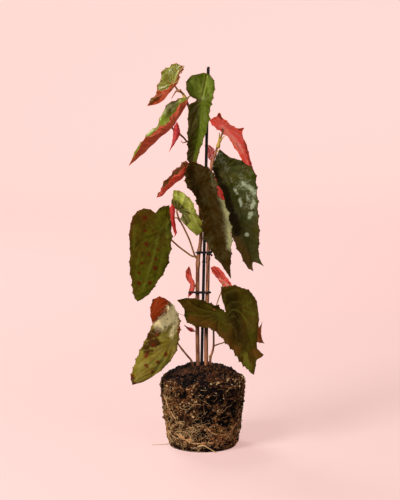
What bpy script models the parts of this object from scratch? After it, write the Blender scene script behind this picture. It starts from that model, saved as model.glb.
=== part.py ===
"""A begonia with pointed, spotted leaves, lifted out of its pot: bare root ball, stake, canes, leaves.

Metres, +Z up, -Y towards the viewer. The origin is the centre of the root ball's flat base.
A spot on a leaf or stem is given as it is seen from the front: right and down in a 400 by 500 view,
and how many millimetres it lies behind the stake. The view's eye and scale are the real sizes below.
"""

import math
from dataclasses import dataclass

import bmesh
import bpy
import numpy as np
from mathutils import Vector, noise

# Driving dimensions, in metres. The ball's are pairs of height and radius.
BALL_RADII = (
    (0.0, 0.0425),
    (0.006, 0.0446),
    (0.030, 0.0483),
    (0.055, 0.0514),
    (0.078, 0.0535),
    (0.0865, 0.0525),
)
BALL_DOME = 0.019
STEM_DIP = 0.0035
STEM_DIP_WIDTH = 0.016
CRUMB = 0.0011
STAKE_RADIUS = 0.0019
CANE_RADIUS = 0.00225
PETIOLE_RADIUS = 0.0009
TIE_WIRE_RADIUS = 0.0009
TIE_TAIL_RADIUS = 0.0014
TIE_HALF_WIDTH = 0.0040
RING_RADIUS = 0.0004
SIDE_ROOT_RADIUS = 0.0010
LOOSE_RADII = (0.0010, 0.0006)
STAKE_HOLE_LENGTH = 0.06
SOIL_CLEARED = 0.125
BLADE = 0.0008
GAP = 0.0003
NODE_SWELL = 0.16
NODE_LENGTH = 0.012

# The front view: the eye's place, the height it looks at, and its scale.
EYE = np.array([-0.00375, -2.2, 0.5963])
LOOKS_AT_HEIGHT = 0.2523
VIEW_CENTRE = (200.0, 250.0)
VIEW_SCALE = 1759.7


def seen(spots):
    """World points, in metres, of an array (..., 3) of spots: right, down, millimetres behind the stake."""
    spots = np.asarray(spots, float)
    tilt = math.atan2(EYE[2] - LOOKS_AT_HEIGHT, -EYE[1])
    right = (spots[..., 0] - VIEW_CENTRE[0]) / VIEW_SCALE
    up = (VIEW_CENTRE[1] - spots[..., 1]) / VIEW_SCALE
    ahead = math.cos(tilt) + up * math.sin(tilt)
    rise = up * math.cos(tilt) - math.sin(tilt)
    ray = np.stack([right, ahead, rise], -1)
    reach = (spots[..., 2] / 1000 - EYE[1]) / ray[..., 1]
    return EYE + ray * reach[..., None]


def smooth(points, at):
    """Points of the smooth curve through an array (n, ...) of points, at places from 0 to n - 1."""
    count = len(points)
    padded = np.concatenate([2 * points[:1] - points[1:2], points, 2 * points[-1:] - points[-2:-1]])
    first = np.clip(np.floor(at).astype(int), 0, count - 2)
    part = (at - first).reshape(-1, *[1] * (points.ndim - 1))
    a, b, c, d = (padded[first + step] for step in range(4))
    bend = (2 * a - 5 * b + 4 * c - d) * part**2
    twist = (3 * b - a - 3 * c + d) * part**3
    return 0.5 * (2 * b + (c - a) * part + bend + twist)


@dataclass(frozen=True)
class Spike:
    """A long tooth: where it stands along the leaf, its side, the width of its foot, and its reach."""

    along: float
    side: int
    width: float
    reach: tuple


@dataclass(frozen=True)
class Leaf:
    """A blade lofted through rows of three spots (one edge, the middle, the other edge) from tip to tip.

    attach is where the leaf stalk meets it: along the leaf from 0 to 1, and across it from -1 to 1.
    upper is 1 where the rows' own normal is the leaf's upper side, or -1 where that is its underside.
    """

    rows: tuple
    attach: tuple
    teeth: int = 11
    tooth: float = 0.0013
    wave: float = 0.0010
    upper: int = 1
    crease: float = 0.5
    spikes: tuple = ()
    colour: str = "leaf_green"


def blade_points(leaf, along, across):
    """World points of the blade: a smooth loft along, a creased parabola across, with toothed edges."""
    rows = [row if len(row) == 3 else (row[0],) * 3 for row in leaf.rows]
    cage = seen(np.array(rows, float))
    curves = smooth(cage, along * (len(rows) - 1))
    edge_a, middle, edge_b = curves[:, None, 0], curves[:, None, 1], curves[:, None, 2]
    v = across[None, :, None]
    size = np.abs(v)
    bow = (edge_a + edge_b - 2 * middle) / 2
    straight = middle + np.where(v < 0, edge_a - middle, edge_b - middle) * size
    round_ = middle + (edge_b - edge_a) / 2 * v + bow * v**2
    points = straight * leaf.crease + round_ * (1 - leaf.crease)
    u = along[:, None, None]
    ends = np.minimum(1, 6 * u * (1 - u))
    outward = np.where(v < 0, edge_a - middle, edge_b - middle)
    outward = outward / np.maximum(np.linalg.norm(outward, axis=-1, keepdims=True), 0.003)
    saw = np.abs(2 * ((u * leaf.teeth) % 1) - 1) - 0.5
    points = points + outward * saw * leaf.tooth * ends * size**4
    face = np.cross(np.gradient(points, axis=0), edge_b - edge_a)
    face /= np.maximum(np.linalg.norm(face, axis=-1, keepdims=True), 1e-9)
    ripple = np.sin(2 * math.pi * u * leaf.teeth * 0.42 + 1.7 * np.sign(v))
    points = points + face * ripple * leaf.wave * ends * size**2
    for spike in leaf.spikes:
        foot = np.exp(-(((u - spike.along) / spike.width) ** 2)) * np.clip(v * spike.side, 0, 1) ** 4
        points = points + foot * np.array([spike.reach[0], 0, spike.reach[1]]) / 1000
    return points


LEAVES = {
    "leaf_01_crown_left": Leaf(
        rows=(
            ((184.5, 66, 8),),
            ((174, 64, 20), (178, 70.5, 5), (182, 71, 2)),
            ((166, 68, 25), (175, 77, 3), (179.3, 77, -3)),
            ((160.5, 76, 25), (173.3, 85, 1), (175.2, 84, -8)),
            ((158.5, 86, 19), (168, 93, -7), (163.5, 89, -17)),
            ((153.5, 95.5, 3), (160.5, 101, -15), (156.5, 95, -23)),
            ((147, 106, -23),),
        ),
        attach=(0.5, 0.0),
        teeth=9,
    ),
    "leaf_02_upper_left_long": Leaf(
        rows=(
            ((188, 98.5, -6),),
            ((181, 98, -3), (185.5, 105, -7), (183.5, 101.5, -10)),
            ((172, 101.5, 8), (181, 112, -8), (177, 108, -14)),
            ((164, 109, 12), (176.5, 119, -10), (171.5, 116, -18)),
            ((160, 119, 10), (171.5, 127, -13), (167, 122.5, -22)),
            ((156, 126.5, 0), (161, 135, -19), (157, 129.5, -27)),
            ((146, 135.5, -13), (150, 145.5, -26), (146.5, 137.5, -33)),
            ((137.5, 147.5, -26), (140, 155, -33), (138, 149.5, -38)),
            ((128.5, 166, -42),),
        ),
        attach=(0.5, 0.0),
        teeth=12,
    ),
    "leaf_03_top_centre": Leaf(
        rows=(
            ((199, 75, -7),),
            ((190, 77, -11), (200, 80.5, -6), (209, 75.5, -12)),
            ((185.8, 85, -14), (200, 90, -6), (214.8, 84, -15)),
            ((189, 94, -13), (200, 97, -6), (213.6, 95, -16)),
            ((196, 100, -9), (201, 102, -6), (212, 103, -16)),
            ((189, 106, -14), (200, 111, -6), (209.8, 111, -15)),
            ((188, 122, -15), (198.8, 124, -6), (209, 121, -14)),
            ((187.5, 138, -13), (197, 138, -5), (204.3, 138, -12)),
            ((187.5, 150, -9), (194, 150, -3.5), (200, 149, -9)),
            ((187, 158.5, -6), (192, 159, -3.2), (197.5, 159, -6)),
            ((192, 167, -3.2),),
        ),
        attach=(0.38, 0.15),
        teeth=12,
        wave=0.0014,
        crease=0.7,
    ),
    "leaf_04_young_pink_upper": Leaf(
        rows=(
            ((177, 121.5, -15),),
            ((173.5, 128, -15), (177, 128, -18), (179.3, 127.5, -15)),
            ((173, 135, -15), (176.5, 135, -18), (180, 134, -15)),
            ((171.8, 143, -17), (173.6, 143, -19), (175.8, 142, -17)),
            ((169, 152, -20),),
        ),
        attach=(0.42, 0.5),
        teeth=6,
        tooth=0.0005,
        wave=0.0004,
        colour="leaf_red",
    ),
    "leaf_05_upper_right_red": Leaf(
        rows=(
            ((209.5, 120, 5),),
            ((213, 126, 10), (214.5, 121.5, 7), (216, 117, 11)),
            ((221, 131.5, 15), (222.5, 125, 13), (224, 119, 20)),
            ((229, 139, 21), (231, 132, 20), (233, 126, 29)),
            ((235.8, 149, 27), (239, 140.5, 26), (241.5, 132.5, 37)),
            ((241, 159, 33), (244.5, 151, 32), (246.3, 146, 42)),
            ((246, 167, 39), (249, 161, 39), (250.5, 161, 45)),
            ((255, 174, 48),),
        ),
        attach=(0.3, -0.55),
        teeth=9,
        upper=-1,
        spikes=(Spike(0.2, 1, 0.03, (0, 6)), Spike(0.53, 1, 0.03, (5, 3))),
        colour="leaf_red",
    ),
    "leaf_06_right_large": Leaf(
        rows=(
            ((220, 149.5, 7),),
            ((215, 159, 6), (222, 158, 11), (230, 157, 12)),
            ((212.8, 169, 6), (227, 170, 15), (241, 160.5, 17)),
            ((216.5, 180, 3), (234, 183, 17), (253.5, 170, 22)),
            ((222.8, 193, 2), (240, 197, 17), (257, 185, 23)),
            ((226, 210, 2), (243, 213, 16), (257.8, 205, 21)),
            ((231, 232, 0), (246, 232, 12), (259.2, 226, 16)),
            ((238, 250, -3), (249, 247, 6), (259, 245, 9)),
            ((246.5, 266, -7), (252, 258, 0), (259.5, 258, 2)),
            ((253.5, 271.5, -10), (253.2, 262, -3), (264, 266.5, -2)),
        ),
        attach=(0.2, -0.15),
        teeth=13,
        crease=0.35,
        colour="leaf_dark",
    ),
    "leaf_07_centre_large": Leaf(
        rows=(
            ((190, 160.5, -11),),
            ((186, 170, -13), (196, 168, -12), (203, 165.5, -13)),
            ((184.5, 178, -15), (200, 178, -13), (211.3, 170.5, -17)),
            ((187.5, 187, -17), (204, 187, -14), (217.5, 183, -21)),
            ((195.5, 197, -18), (209, 198, -15), (217.3, 192.5, -23)),
            ((200, 209, -19), (213, 211, -17), (226.8, 207, -27)),
            ((202, 224, -21), (217, 226, -20), (230.6, 224, -31)),
            ((204.5, 240, -24), (220, 242, -24), (232, 242, -35)),
            ((212, 252, -28), (223, 255, -29), (231, 258, -37)),
            ((222, 266, -34), (227, 268, -36), (230.5, 268, -40)),
            ((231, 279, -44),),
        ),
        attach=(0.24, -0.2),
        teeth=13,
        tooth=0.0016,
        wave=0.0014,
        crease=0.3,
        colour="leaf_dark",
    ),
    "leaf_08_mid_left_folded": Leaf(
        rows=(
            ((190.5, 163.5, -8),),
            ((184, 161.5, -6), (187.5, 170.5, -8.5), (186, 166.5, -10.5)),
            ((177, 168, -5), (182, 177, -13), (180, 171, -17)),
            ((171, 174, -8), (175, 182, -17), (172.5, 177, -22)),
            ((164.5, 182, -15), (168, 188, -22), (166, 184.5, -27)),
            ((159.5, 191, -24), (162, 193.5, -28), (160.5, 191.5, -30)),
            ((156.5, 197.5, -33),),
        ),
        attach=(0.12, 0.0),
        teeth=9,
        tooth=0.0016,
        colour="leaf_red",
    ),
    "leaf_09_light_green_twisted": Leaf(
        rows=(
            ((173.5, 190, -24),),
            ((172.5, 197, -20), (176, 196, -22), (181, 191.5, -20)),
            ((171.5, 205, -10), (180, 202, -20), (188.5, 197, -18)),
            ((176, 209, -6), (185, 208, -18), (194.3, 206, -16)),
            ((182, 214, -10), (189, 214.5, -17), (197.2, 214.5, -13)),
            ((181, 219, -18), (192, 221.5, -16), (201.8, 222, -10)),
            ((187, 227, -16), (195, 229, -14), (203, 230, -9)),
            ((197, 236, -10),),
        ),
        attach=(0.42, -0.75),
        teeth=10,
        tooth=0.0008,
        upper=-1,
        colour="leaf_light",
    ),
    "leaf_10_curled_red": Leaf(
        rows=(
            ((172.2, 203.5, -26),),
            ((170, 209, -22), (172.3, 209, -28), (174.6, 209, -22)),
            ((170.3, 217, -22), (172.6, 217, -28), (174.6, 217, -22)),
            ((171.8, 225, -23), (173.6, 225, -27), (175, 225, -23)),
            ((173.6, 230.5, -24), (175, 230.8, -26), (176.3, 230.2, -24)),
            ((175, 234, -24), (176.2, 233.6, -26), (177, 232.6, -24)),
            ((174, 237, -25),),
        ),
        attach=(0.35, 0.6),
        teeth=6,
        tooth=0.0003,
        wave=0.0003,
        upper=-1,
        colour="leaf_red",
    ),
    "leaf_11_left_spotted": Leaf(
        rows=(
            ((155.5, 213, -15),),
            ((148, 208.5, -12), (156, 217.5, -17), (160.5, 207.5, -15)),
            ((138, 211.3, -4), (156, 224.5, -20), (168.5, 205.5, -15)),
            ((132, 218.5, 0), (154, 232, -21), (171, 217, -16)),
            ((129.6, 232, 0), (151, 241, -22), (171.7, 234, -18)),
            ((129.8, 252, -4), (150, 254, -25), (170.7, 252, -24)),
            ((130, 270, -12), (147, 269, -29), (164.7, 271, -31)),
            ((132, 286, -24), (142.5, 285, -34), (154, 287.5, -36)),
            ((134, 296.5, -35), (139, 295, -39), (145, 297.5, -40)),
            ((137.5, 301.5, -44),),
        ),
        attach=(0.36, 0.5),
        teeth=13,
        crease=0.3,
        colour="leaf_olive",
    ),
    "leaf_12_low_left_spotted": Leaf(
        rows=(
            ((152.5, 324, -36),),
            ((150.2, 312, -34), (158, 311.5, -39), (168, 311.5, -35)),
            ((153, 299.5, -27), (161, 296.5, -30), (169, 302, -29)),
            ((154.5, 316, -18), (165, 310, -20), (177, 311, -21)),
            ((150.8, 328, -18), (165, 324, -22), (180.2, 323, -17)),
            ((145.2, 340, -19), (161, 340, -25), (179.2, 337, -17)),
            ((138.7, 353, -23), (154, 355, -31), (175, 354, -22)),
            ((133.5, 367, -31), (145, 368, -38), (162, 369.5, -31)),
            ((130.6, 377, -40), (137.5, 378, -44), (147, 380, -40)),
            ((132.5, 385, -48),),
        ),
        attach=(0.57, 0.65),
        teeth=14,
        crease=0.2,
        colour="leaf_olive",
    ),
}
LEAVES |= {
    "leaf_13_low_right_large": Leaf(
        rows=(
            ((177, 300, -12),),
            ((184, 309, -14), (186, 304, -11), (188.5, 298, -12)),
            ((185.5, 320, -16), (194, 310, -11), (201, 299.7, -12)),
            ((196, 326.7, -18), (204, 314, -11), (211, 303.5, -12)),
            ((207, 327.7, -20), (214, 316, -11), (220, 307, -12)),
            ((217, 333, -24), (224, 321, -12), (226.3, 311, -11)),
            ((225.7, 343, -29), (233, 313, -12), (221, 288, -7)),
            ((232, 350, -33), (241, 317, -15), (240, 287, -6)),
            ((238, 359, -38), (245, 326, -20), (255, 297, -10)),
            ((243, 365.3, -42), (248, 339, -28), (258.5, 320, -18)),
            ((248, 370, -46), (251, 353, -37), (256.6, 345, -31)),
            ((251, 373, -50), (253.5, 364, -45), (256, 362, -44)),
            ((254, 375, -53),),
        ),
        attach=(0.375, 0.35),
        teeth=16,
        crease=0.4,
        spikes=(Spike(0.875, 1, 0.022, (9, -2)),),
        colour="leaf_olive",
    ),
    "leaf_14_low_right_pink": Leaf(
        rows=(
            ((210.6, 267.5, 1),),
            ((213, 273.5, 3), (214, 269.5, 1), (215, 266.3, 3)),
            ((217.5, 278.5, 7), (219, 273.5, 4), (220.5, 269.2, 7)),
            ((221, 283.5, 9), (223.7, 278, 6), (226.3, 277, 9)),
            ((225.5, 287.7, 11), (228, 283, 9), (230, 282, 11)),
            ((233, 287.5, 13),),
        ),
        attach=(0.62, -0.55),
        teeth=6,
        tooth=0.0006,
        wave=0.0005,
        upper=-1,
        colour="leaf_red",
    ),
    "leaf_15_low_left_pink": Leaf(
        rows=(
            ((189, 266, 9),),
            ((186.2, 272, 8), (189, 272, 5), (191.5, 271, 8)),
            ((186.5, 278, 7), (190, 279, 4), (193, 278, 7)),
            ((188.5, 285, 7), (191.5, 286, 4), (194.6, 286, 7)),
            ((188.3, 291, 7), (191, 292, 5), (193.6, 292, 7)),
            ((188.5, 298, 8),),
        ),
        attach=(0.6, 0.5),
        teeth=6,
        tooth=0.0005,
        wave=0.0004,
        upper=-1,
        colour="leaf_red",
    ),
    "leaf_16_low_young_tip": Leaf(
        rows=(
            ((195, 331, 5),),
            ((191.5, 332, 7), (191.8, 329.8, 6), (192.2, 328, 8)),
            ((188, 329.7, 10), (188, 328.3, 9), (188, 327, 11)),
            ((184, 324.8, 14),),
        ),
        attach=(0.2, 0.0),
        teeth=5,
        tooth=0.0003,
        wave=0.0002,
        colour="leaf_red",
    ),
    "leaf_17_back_upper": Leaf(
        rows=(
            ((211.3, 160.5, 7),),
            ((209, 158.5, 11), (211.5, 156.5, 14), (214.3, 152, 21)),
            ((208.6, 155.5, 20), (211.3, 151.5, 27), (214.2, 147.5, 38)),
            ((208.8, 151, 34), (210.6, 148.5, 41), (212.6, 146.5, 50)),
            ((209, 146.5, 60),),
        ),
        attach=(0.12, 0.0),
        teeth=7,
        upper=-1,
        colour="leaf_red",
    ),
    "leaf_18_back_mid": Leaf(
        rows=(
            ((216, 177, 21),),
            ((211, 184, 28), (218, 184, 23), (227, 182, 31)),
            ((210, 196, 35), (220, 196, 30), (233, 194, 40)),
            ((213, 210, 44), (223, 210, 38), (236, 207, 48)),
            ((219, 224, 51), (228, 223, 47), (237, 220, 54)),
            ((231, 235, 60),),
        ),
        attach=(0.2, 0.0),
        teeth=9,
        upper=-1,
        colour="leaf_red",
    ),
    "leaf_19_right_curled": Leaf(
        rows=(
            ((225.5, 339.5, 3),),
            ((232, 343, 6), (232.5, 337, 6), (233, 331, 9)),
            ((242, 345, 12), (243, 335, 13), (243.5, 326, 18)),
            ((252, 344.5, 17), (252.5, 334.5, 20), (253, 325, 25)),
            ((257.5, 342.5, 17), (259, 334, 20), (259.3, 327, 23)),
            ((263, 343.5, 12), (261, 334, 15), (261.5, 324, 17)),
        ),
        attach=(0.12, 0.0),
        teeth=8,
        upper=-1,
        spikes=(Spike(1.0, 1, 0.05, (1, 3)), Spike(1.0, -1, 0.05, (2, 0))),
        colour="leaf_brown",
    ),
}


@dataclass(frozen=True)
class Stem:
    """A cane: its spots from the soil up, its radii, and the swollen nodes along it from 0 to 1."""

    spots: tuple
    radius: float = CANE_RADIUS
    top_radius: float = 0.0011
    nodes: tuple = ()


@dataclass(frozen=True)
class Stalk:
    """A leaf stalk or small side growth: its stem, the spots it passes, and the leaf it holds."""

    stem: str
    spots: tuple
    leaf: str = ""
    radius: float = PETIOLE_RADIUS
    tip_radius: float = 0.0


STEMS = {
    "cane_left": Stem(
        spots=(
            (198.2, 378, 1), (198, 366, 1.5), (197.4, 330, 1.5), (197.5, 290, 1.5),
            (198, 262, 1.2), (200, 246, 1.8), (201, 236, 3), (200.5, 215, 4),
            (198.5, 190, 4.5), (196, 165, 4.5), (192.5, 135, 3.5), (190, 112, 2.5),
            (186.5, 101, 1), (184, 95.5, 0),
        ),
        nodes=(0.2, 0.3, 0.36, 0.62, 0.78, 0.9),
    ),
    "cane_right": Stem(
        spots=(
            (206.4, 378, 1), (206.2, 366, 1), (206.2, 330, 1), (207.5, 290, 1),
            (208, 262, 1), (208.4, 246, 1), (209.3, 220, 2), (210, 195, 2.5),
            (211.2, 168, 2), (215, 155, 1.5), (218, 145, 1), (219.5, 139, 1),
        ),
        nodes=(0.22, 0.38, 0.5, 0.68, 0.82, 0.92),
    ),
    "side_shoot": Stem(
        spots=(
            (210.2, 374, 0), (210.2, 363, 0), (210.6, 357, 0), (212.3, 352, -0.5),
            (213.6, 345, -1), (213.6, 331, -3), (213.8, 320, -4.5),
        ),
        radius=0.0014,
        top_radius=0.0009,
        nodes=(0.3, 0.55),
    ),
    "petiole_low_left": Stem(
        spots=(
            (194, 370, -2), (191.5, 361, -4), (188, 356.5, -7), (183, 350.5, -11),
            (178.5, 344.5, -14),
        ),
        radius=0.0012,
        top_radius=0.0009,
    ),
}

STALKS = (
    Stalk("cane_left", ((186, 99, 1), (181, 92, 0), (177.5, 89.5, 1)), "leaf_01_crown_left"),
    Stalk(
        "cane_left",
        (
            (193, 145, 3.7), (187, 141.5, 0), (184, 138, -4), (180, 134, -9),
            (176.5, 129, -10.5),
        ),
        "leaf_02_upper_left_long",
    ),
    Stalk("cane_left", ((190, 112, 2.5), (195, 107, 1), (199, 104, 0)), "leaf_03_top_centre"),
    Stalk(
        "cane_left",
        ((184, 138, -4), (182.5, 137, -7), (180.5, 135.5, -11)),
        "leaf_04_young_pink_upper",
        0.0006,
    ),
    Stalk(
        "cane_right",
        ((218.7, 142, 1), (221, 137, 4), (222.3, 133.5, 8)),
        "leaf_05_upper_right_red",
    ),
    Stalk(
        "cane_right",
        ((210.8, 172, 2), (210.3, 170.5, 7), (212, 169, 13), (217, 168, 16)),
        "leaf_06_right_large",
    ),
    Stalk(
        "cane_left",
        ((197.3, 177, 4.5), (197.5, 179, 0), (198, 180.5, -5)),
        "leaf_07_centre_large",
    ),
    Stalk(
        "cane_left",
        ((196, 165, 4.5), (193, 169, 1), (190.5, 171.5, -3)),
        "leaf_08_mid_left_folded",
        0.0007,
    ),
    Stalk(
        "cane_left",
        (
            (198.3, 260, 1.2), (195.3, 256.5, -1), (193.2, 251, -4), (189.5, 240, -8),
            (184.2, 228.5, -13), (180.8, 222, -16), (178.2, 216.5, -15),
        ),
        "leaf_09_light_green_twisted",
    ),
    Stalk(
        "cane_left",
        ((181, 222.4, -15.8), (179.5, 221, -20), (178, 219, -24)),
        "leaf_10_curled_red",
        0.0006,
    ),
    Stalk(
        "cane_left",
        (
            (198.3, 257, 1.2), (192, 256, -1), (186, 252, -3), (178, 246, -6),
            (171, 239.5, -8), (165, 234, -10),
        ),
        "leaf_11_left_spotted",
    ),
    Stalk(
        "petiole_low_left",
        ((183, 350.5, -11), (178.5, 344.5, -14), (176, 341, -14.5)),
        "leaf_12_low_left_spotted",
    ),
    Stalk(
        "side_shoot",
        ((213.6, 331, -3), (213.8, 320, -4.5), (214.3, 314, -5)),
        "leaf_13_low_right_large",
    ),
    Stalk(
        "side_shoot",
        (
            (213.8, 322, -4.3), (214.6, 314, -2), (216.3, 306, 0), (218.8, 298, 3),
            (221.5, 291, 6),
        ),
        "leaf_14_low_right_pink",
        0.0006,
    ),
    Stalk(
        "cane_left",
        ((197.5, 288, 1.5), (196, 286.5, 3), (194.5, 285, 2)),
        "leaf_15_low_left_pink",
        0.0007,
    ),
    Stalk(
        "cane_left",
        ((197.5, 333, 1.5), (195.5, 331.5, 3), (194, 331, 4)),
        "leaf_16_low_young_tip",
        0.0006,
    ),
    Stalk("cane_right", ((211.8, 166, 1.8), (210.6, 165.5, 6)), "leaf_17_back_upper", 0.0007),
    Stalk(
        "cane_right",
        ((211, 173, 2.2), (211.5, 175, 9), (213.5, 178.5, 16)),
        "leaf_18_back_mid",
        0.0008,
    ),
    Stalk(
        "side_shoot",
        ((213.4, 346, -1), (219, 344, 0), (224, 342.3, 1)),
        "leaf_19_right_curled",
        0.0007,
    ),
    Stalk(
        "cane_left",
        ((197.4, 319, 1.5), (190, 317.5, 1), (184, 315.5, 0), (180.2, 314.3, -1)),
        "",
        0.0004,
        0.0003,
    ),
    Stalk(
        "cane_left",
        ((184.5, 96.5, 0.5), (180.5, 92, -3), (176, 93.5, -4), (171.5, 98.5, -6)),
        "",
        0.0008,
        0.0004,
    ),
    Stalk("cane_left", ((186.5, 101, 1), (188, 98, 3), (190, 96, 6)), "", 0.0014, 0.0006),
    Stalk("cane_left", ((184.5, 96.5, 0), (182.5, 94, 0), (182, 91.5, 0)), "", 0.0018, 0.0007),
    Stalk("cane_left", ((187, 141.5, 0), (183, 142.8, 2), (181, 140.5, 3)), "", 0.0007, 0.0004),
    Stalk("cane_right", ((219, 142, 1), (219.5, 138, 0), (218.8, 133.5, -1)), "", 0.0011, 0.0004),
    Stalk("cane_right", ((219, 141, 1), (221.5, 138.5, -2), (224, 136, -4)), "", 0.0009, 0.0004),
    Stalk("cane_right", ((216.4, 152, 1.3), (218.5, 151, 0), (220, 148.5, 0)), "", 0.0010, 0.0004),
    Stalk("side_shoot", ((210.6, 358, 0), (209.6, 357, -1), (209.3, 356, -2)), "", 0.0013, 0.0009),
)
STAKE_SPOTS = ((201.2, 384.0, 0), (208.3, 66.5, 0))

# Colours: (red, green, blue), roughness, metallic.
FINISHES = {
    "leaf_green": ((0.12, 0.20, 0.02), 0.42, 0.0),
    "leaf_light": ((0.26, 0.36, 0.04), 0.42, 0.0),
    "leaf_dark": ((0.03, 0.05, 0.02), 0.35, 0.0),
    "leaf_olive": ((0.10, 0.13, 0.03), 0.42, 0.0),
    "leaf_red": ((0.45, 0.07, 0.06), 0.5, 0.0),
    "leaf_brown": ((0.20, 0.07, 0.02), 0.6, 0.0),
    "cane": ((0.22, 0.10, 0.06), 0.5, 0.0),
    "soil": ((0.035, 0.02, 0.012), 0.95, 0.0),
    "stake": ((0.012, 0.012, 0.012), 0.4, 0.0),
    "tie": ((0.01, 0.01, 0.01), 0.5, 0.0),
}


def clear_scene():
    for thing in list(bpy.data.objects):
        bpy.data.objects.remove(thing, do_unlink=True)


def new_collection(name):
    group = bpy.data.collections.new(name)
    bpy.context.scene.collection.children.link(group)
    return group


def finish(thing, name):
    colour, roughness, metallic = FINISHES[name]
    material = bpy.data.materials.get(name)
    if material is None:
        material = bpy.data.materials.new(name)
        material.use_nodes = True
        shader = material.node_tree.nodes["Principled BSDF"]
        shader.inputs["Base Color"].default_value = (*colour, 1)
        shader.inputs["Roughness"].default_value = roughness
        shader.inputs["Metallic"].default_value = metallic
    thing.data.materials.clear()
    thing.data.materials.append(material)
    return thing


def place(name, mesh, group):
    thing = bpy.data.objects.new(name, mesh)
    group.objects.link(thing)
    return thing


def final_mesh(thing):
    """A new mesh of the object with its modifiers, or its bevel, applied."""
    graph = bpy.context.evaluated_depsgraph_get()
    return bpy.data.meshes.new_from_object(thing.evaluated_get(graph))


def tube(name, path, radii, group, sides=2, closed=False):
    """A round bar along world points: a bevelled curve with filled caps, turned into a closed mesh."""
    curve = bpy.data.curves.new(name, "CURVE")
    curve.dimensions = "3D"
    curve.bevel_depth = 1.0
    curve.bevel_resolution = sides
    curve.use_fill_caps = not closed
    line = curve.splines.new("POLY")
    line.points.add(len(path) - 1)
    line.use_cyclic_u = closed
    for point, spot, radius in zip(line.points, path, radii):
        point.co = (*spot, 1)
        point.radius = radius
    guide = place(name + "_guide", curve, group)
    bpy.context.view_layer.update()
    mesh = final_mesh(guide)
    bpy.data.objects.remove(guide)
    skin = bmesh.new()
    skin.from_mesh(mesh)
    bmesh.ops.remove_doubles(skin, verts=skin.verts, dist=0.00001)
    bmesh.ops.recalc_face_normals(skin, faces=skin.faces)
    skin.to_mesh(mesh)
    skin.free()
    mesh.name = name
    return place(name, mesh, group)


def fuse(body, extras, operation="UNION"):
    """Joins to body, or cuts from it, every object of the collection extras, and removes them."""
    step = body.modifiers.new("fuse", "BOOLEAN")
    step.operation = operation
    step.operand_type = "COLLECTION"
    step.collection = extras
    step.solver = "EXACT"
    bpy.context.view_layer.update()
    mesh = final_mesh(body)
    body.modifiers.clear()
    body.data = mesh
    for extra in list(extras.objects):
        bpy.data.objects.remove(extra, do_unlink=True)
    return body


def leaf_side(leaf, attach):
    """The blade's point at attach and the direction that its underside faces there."""
    step = 0.01
    along = np.array([attach[0] - step, attach[0], attach[0] + step])
    across = np.array([attach[1] - step, attach[1], attach[1] + step])
    patch = blade_points(leaf, along, across)
    face = np.cross(patch[2, 1] - patch[0, 1], patch[1, 2] - patch[1, 0])
    return patch[1, 1], -leaf.upper * face / np.linalg.norm(face)


def make_leaf(name, leaf, group):
    """The blade as one thin closed body: a triangulated loft, thickened evenly about its middle."""
    stations = 2 * leaf.teeth + 1
    along = np.linspace(0, 1, stations)
    across = np.linspace(-1, 1, 5)
    points = blade_points(leaf, along, across)
    skin = bmesh.new()
    rows = []
    for index, row in enumerate(points):
        end = leaf.rows[0 if index == 0 else -1]
        if index in (0, stations - 1) and len(end) == 1:
            rows.append([skin.verts.new(row[len(row) // 2])] * len(row))
        else:
            rows.append([skin.verts.new(spot) for spot in row])
    for first, second in zip(rows, rows[1:]):
        for side in range(len(across) - 1):
            corners = (first[side], second[side], second[side + 1], first[side + 1])
            skin.faces.new(list(dict.fromkeys(corners)))
    bmesh.ops.triangulate(skin, faces=skin.faces)
    mesh = bpy.data.meshes.new(name)
    skin.to_mesh(mesh)
    skin.free()
    mesh.shade_smooth()
    thing = finish(place(name, mesh, group), leaf.colour)
    blade = thing.modifiers.new("blade", "SOLIDIFY")
    blade.thickness = BLADE
    blade.offset = 0
    return thing


def stem_path(stem):
    """World points and radii along a stem, close together, with its nodes a little swollen."""
    cage = seen(stem.spots)
    at = np.linspace(0, 1, 2 * len(cage))
    path = smooth(cage, at * (len(cage) - 1))
    radii = stem.radius + (stem.top_radius - stem.radius) * at**1.6
    for node in stem.nodes:
        radii = radii * (1 + NODE_SWELL * np.exp(-(((at - node) / NODE_LENGTH) ** 2)))
    return path, radii


def stalk_path(stalk):
    """World points and radii along a stalk, which ends a hair clear of the underside of its leaf."""
    cage = seen(stalk.spots)
    tip_radius = stalk.tip_radius or stalk.radius
    if stalk.leaf:
        leaf = LEAVES[stalk.leaf]
        spot, under = leaf_side(leaf, leaf.attach)
        seat = spot + under * (BLADE / 2 + GAP + 0.0002)
        cage = np.concatenate([cage, [seat + under * 0.003, seat]])
    count = len(cage) + 3
    path = smooth(cage, np.linspace(0, len(cage) - 1, count))
    return path, np.linspace(stalk.radius, tip_radius, count)


def make_stems(group):
    """Every cane with the leaf stalks, stipules and bud that grow from it, fused in one body."""
    for name, stem in STEMS.items():
        path, radii = stem_path(stem)
        body = tube(name, path, radii, group)
        extras = new_collection(name + "_extras")
        for number, stalk in enumerate(STALKS):
            if stalk.stem == name:
                tube(f"{name}_stalk_{number}", *stalk_path(stalk), extras, sides=1)
        if extras.objects:
            fuse(body, extras)
        body.data.shade_smooth()
        finish(body, "cane")


def ball_radius(height):
    heights, radii = zip(*BALL_RADII)
    return float(np.interp(height, heights, radii))


def soil_height(x, y):
    """Height of the soil's top: a dome, a little hollow round the stems, and crumbs."""
    out = math.hypot(x, y) / BALL_RADII[-1][1]
    dip = STEM_DIP * math.exp(-((math.hypot(x - 0.001, y) / STEM_DIP_WIDTH) ** 2))
    crumbs = CRUMB * noise.noise(Vector((x, y, 0)) * 260)
    return BALL_RADII[-1][0] + BALL_DOME * (1 - out**2) - dip + crumbs * min(1, 6 * (1 - out))


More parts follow.
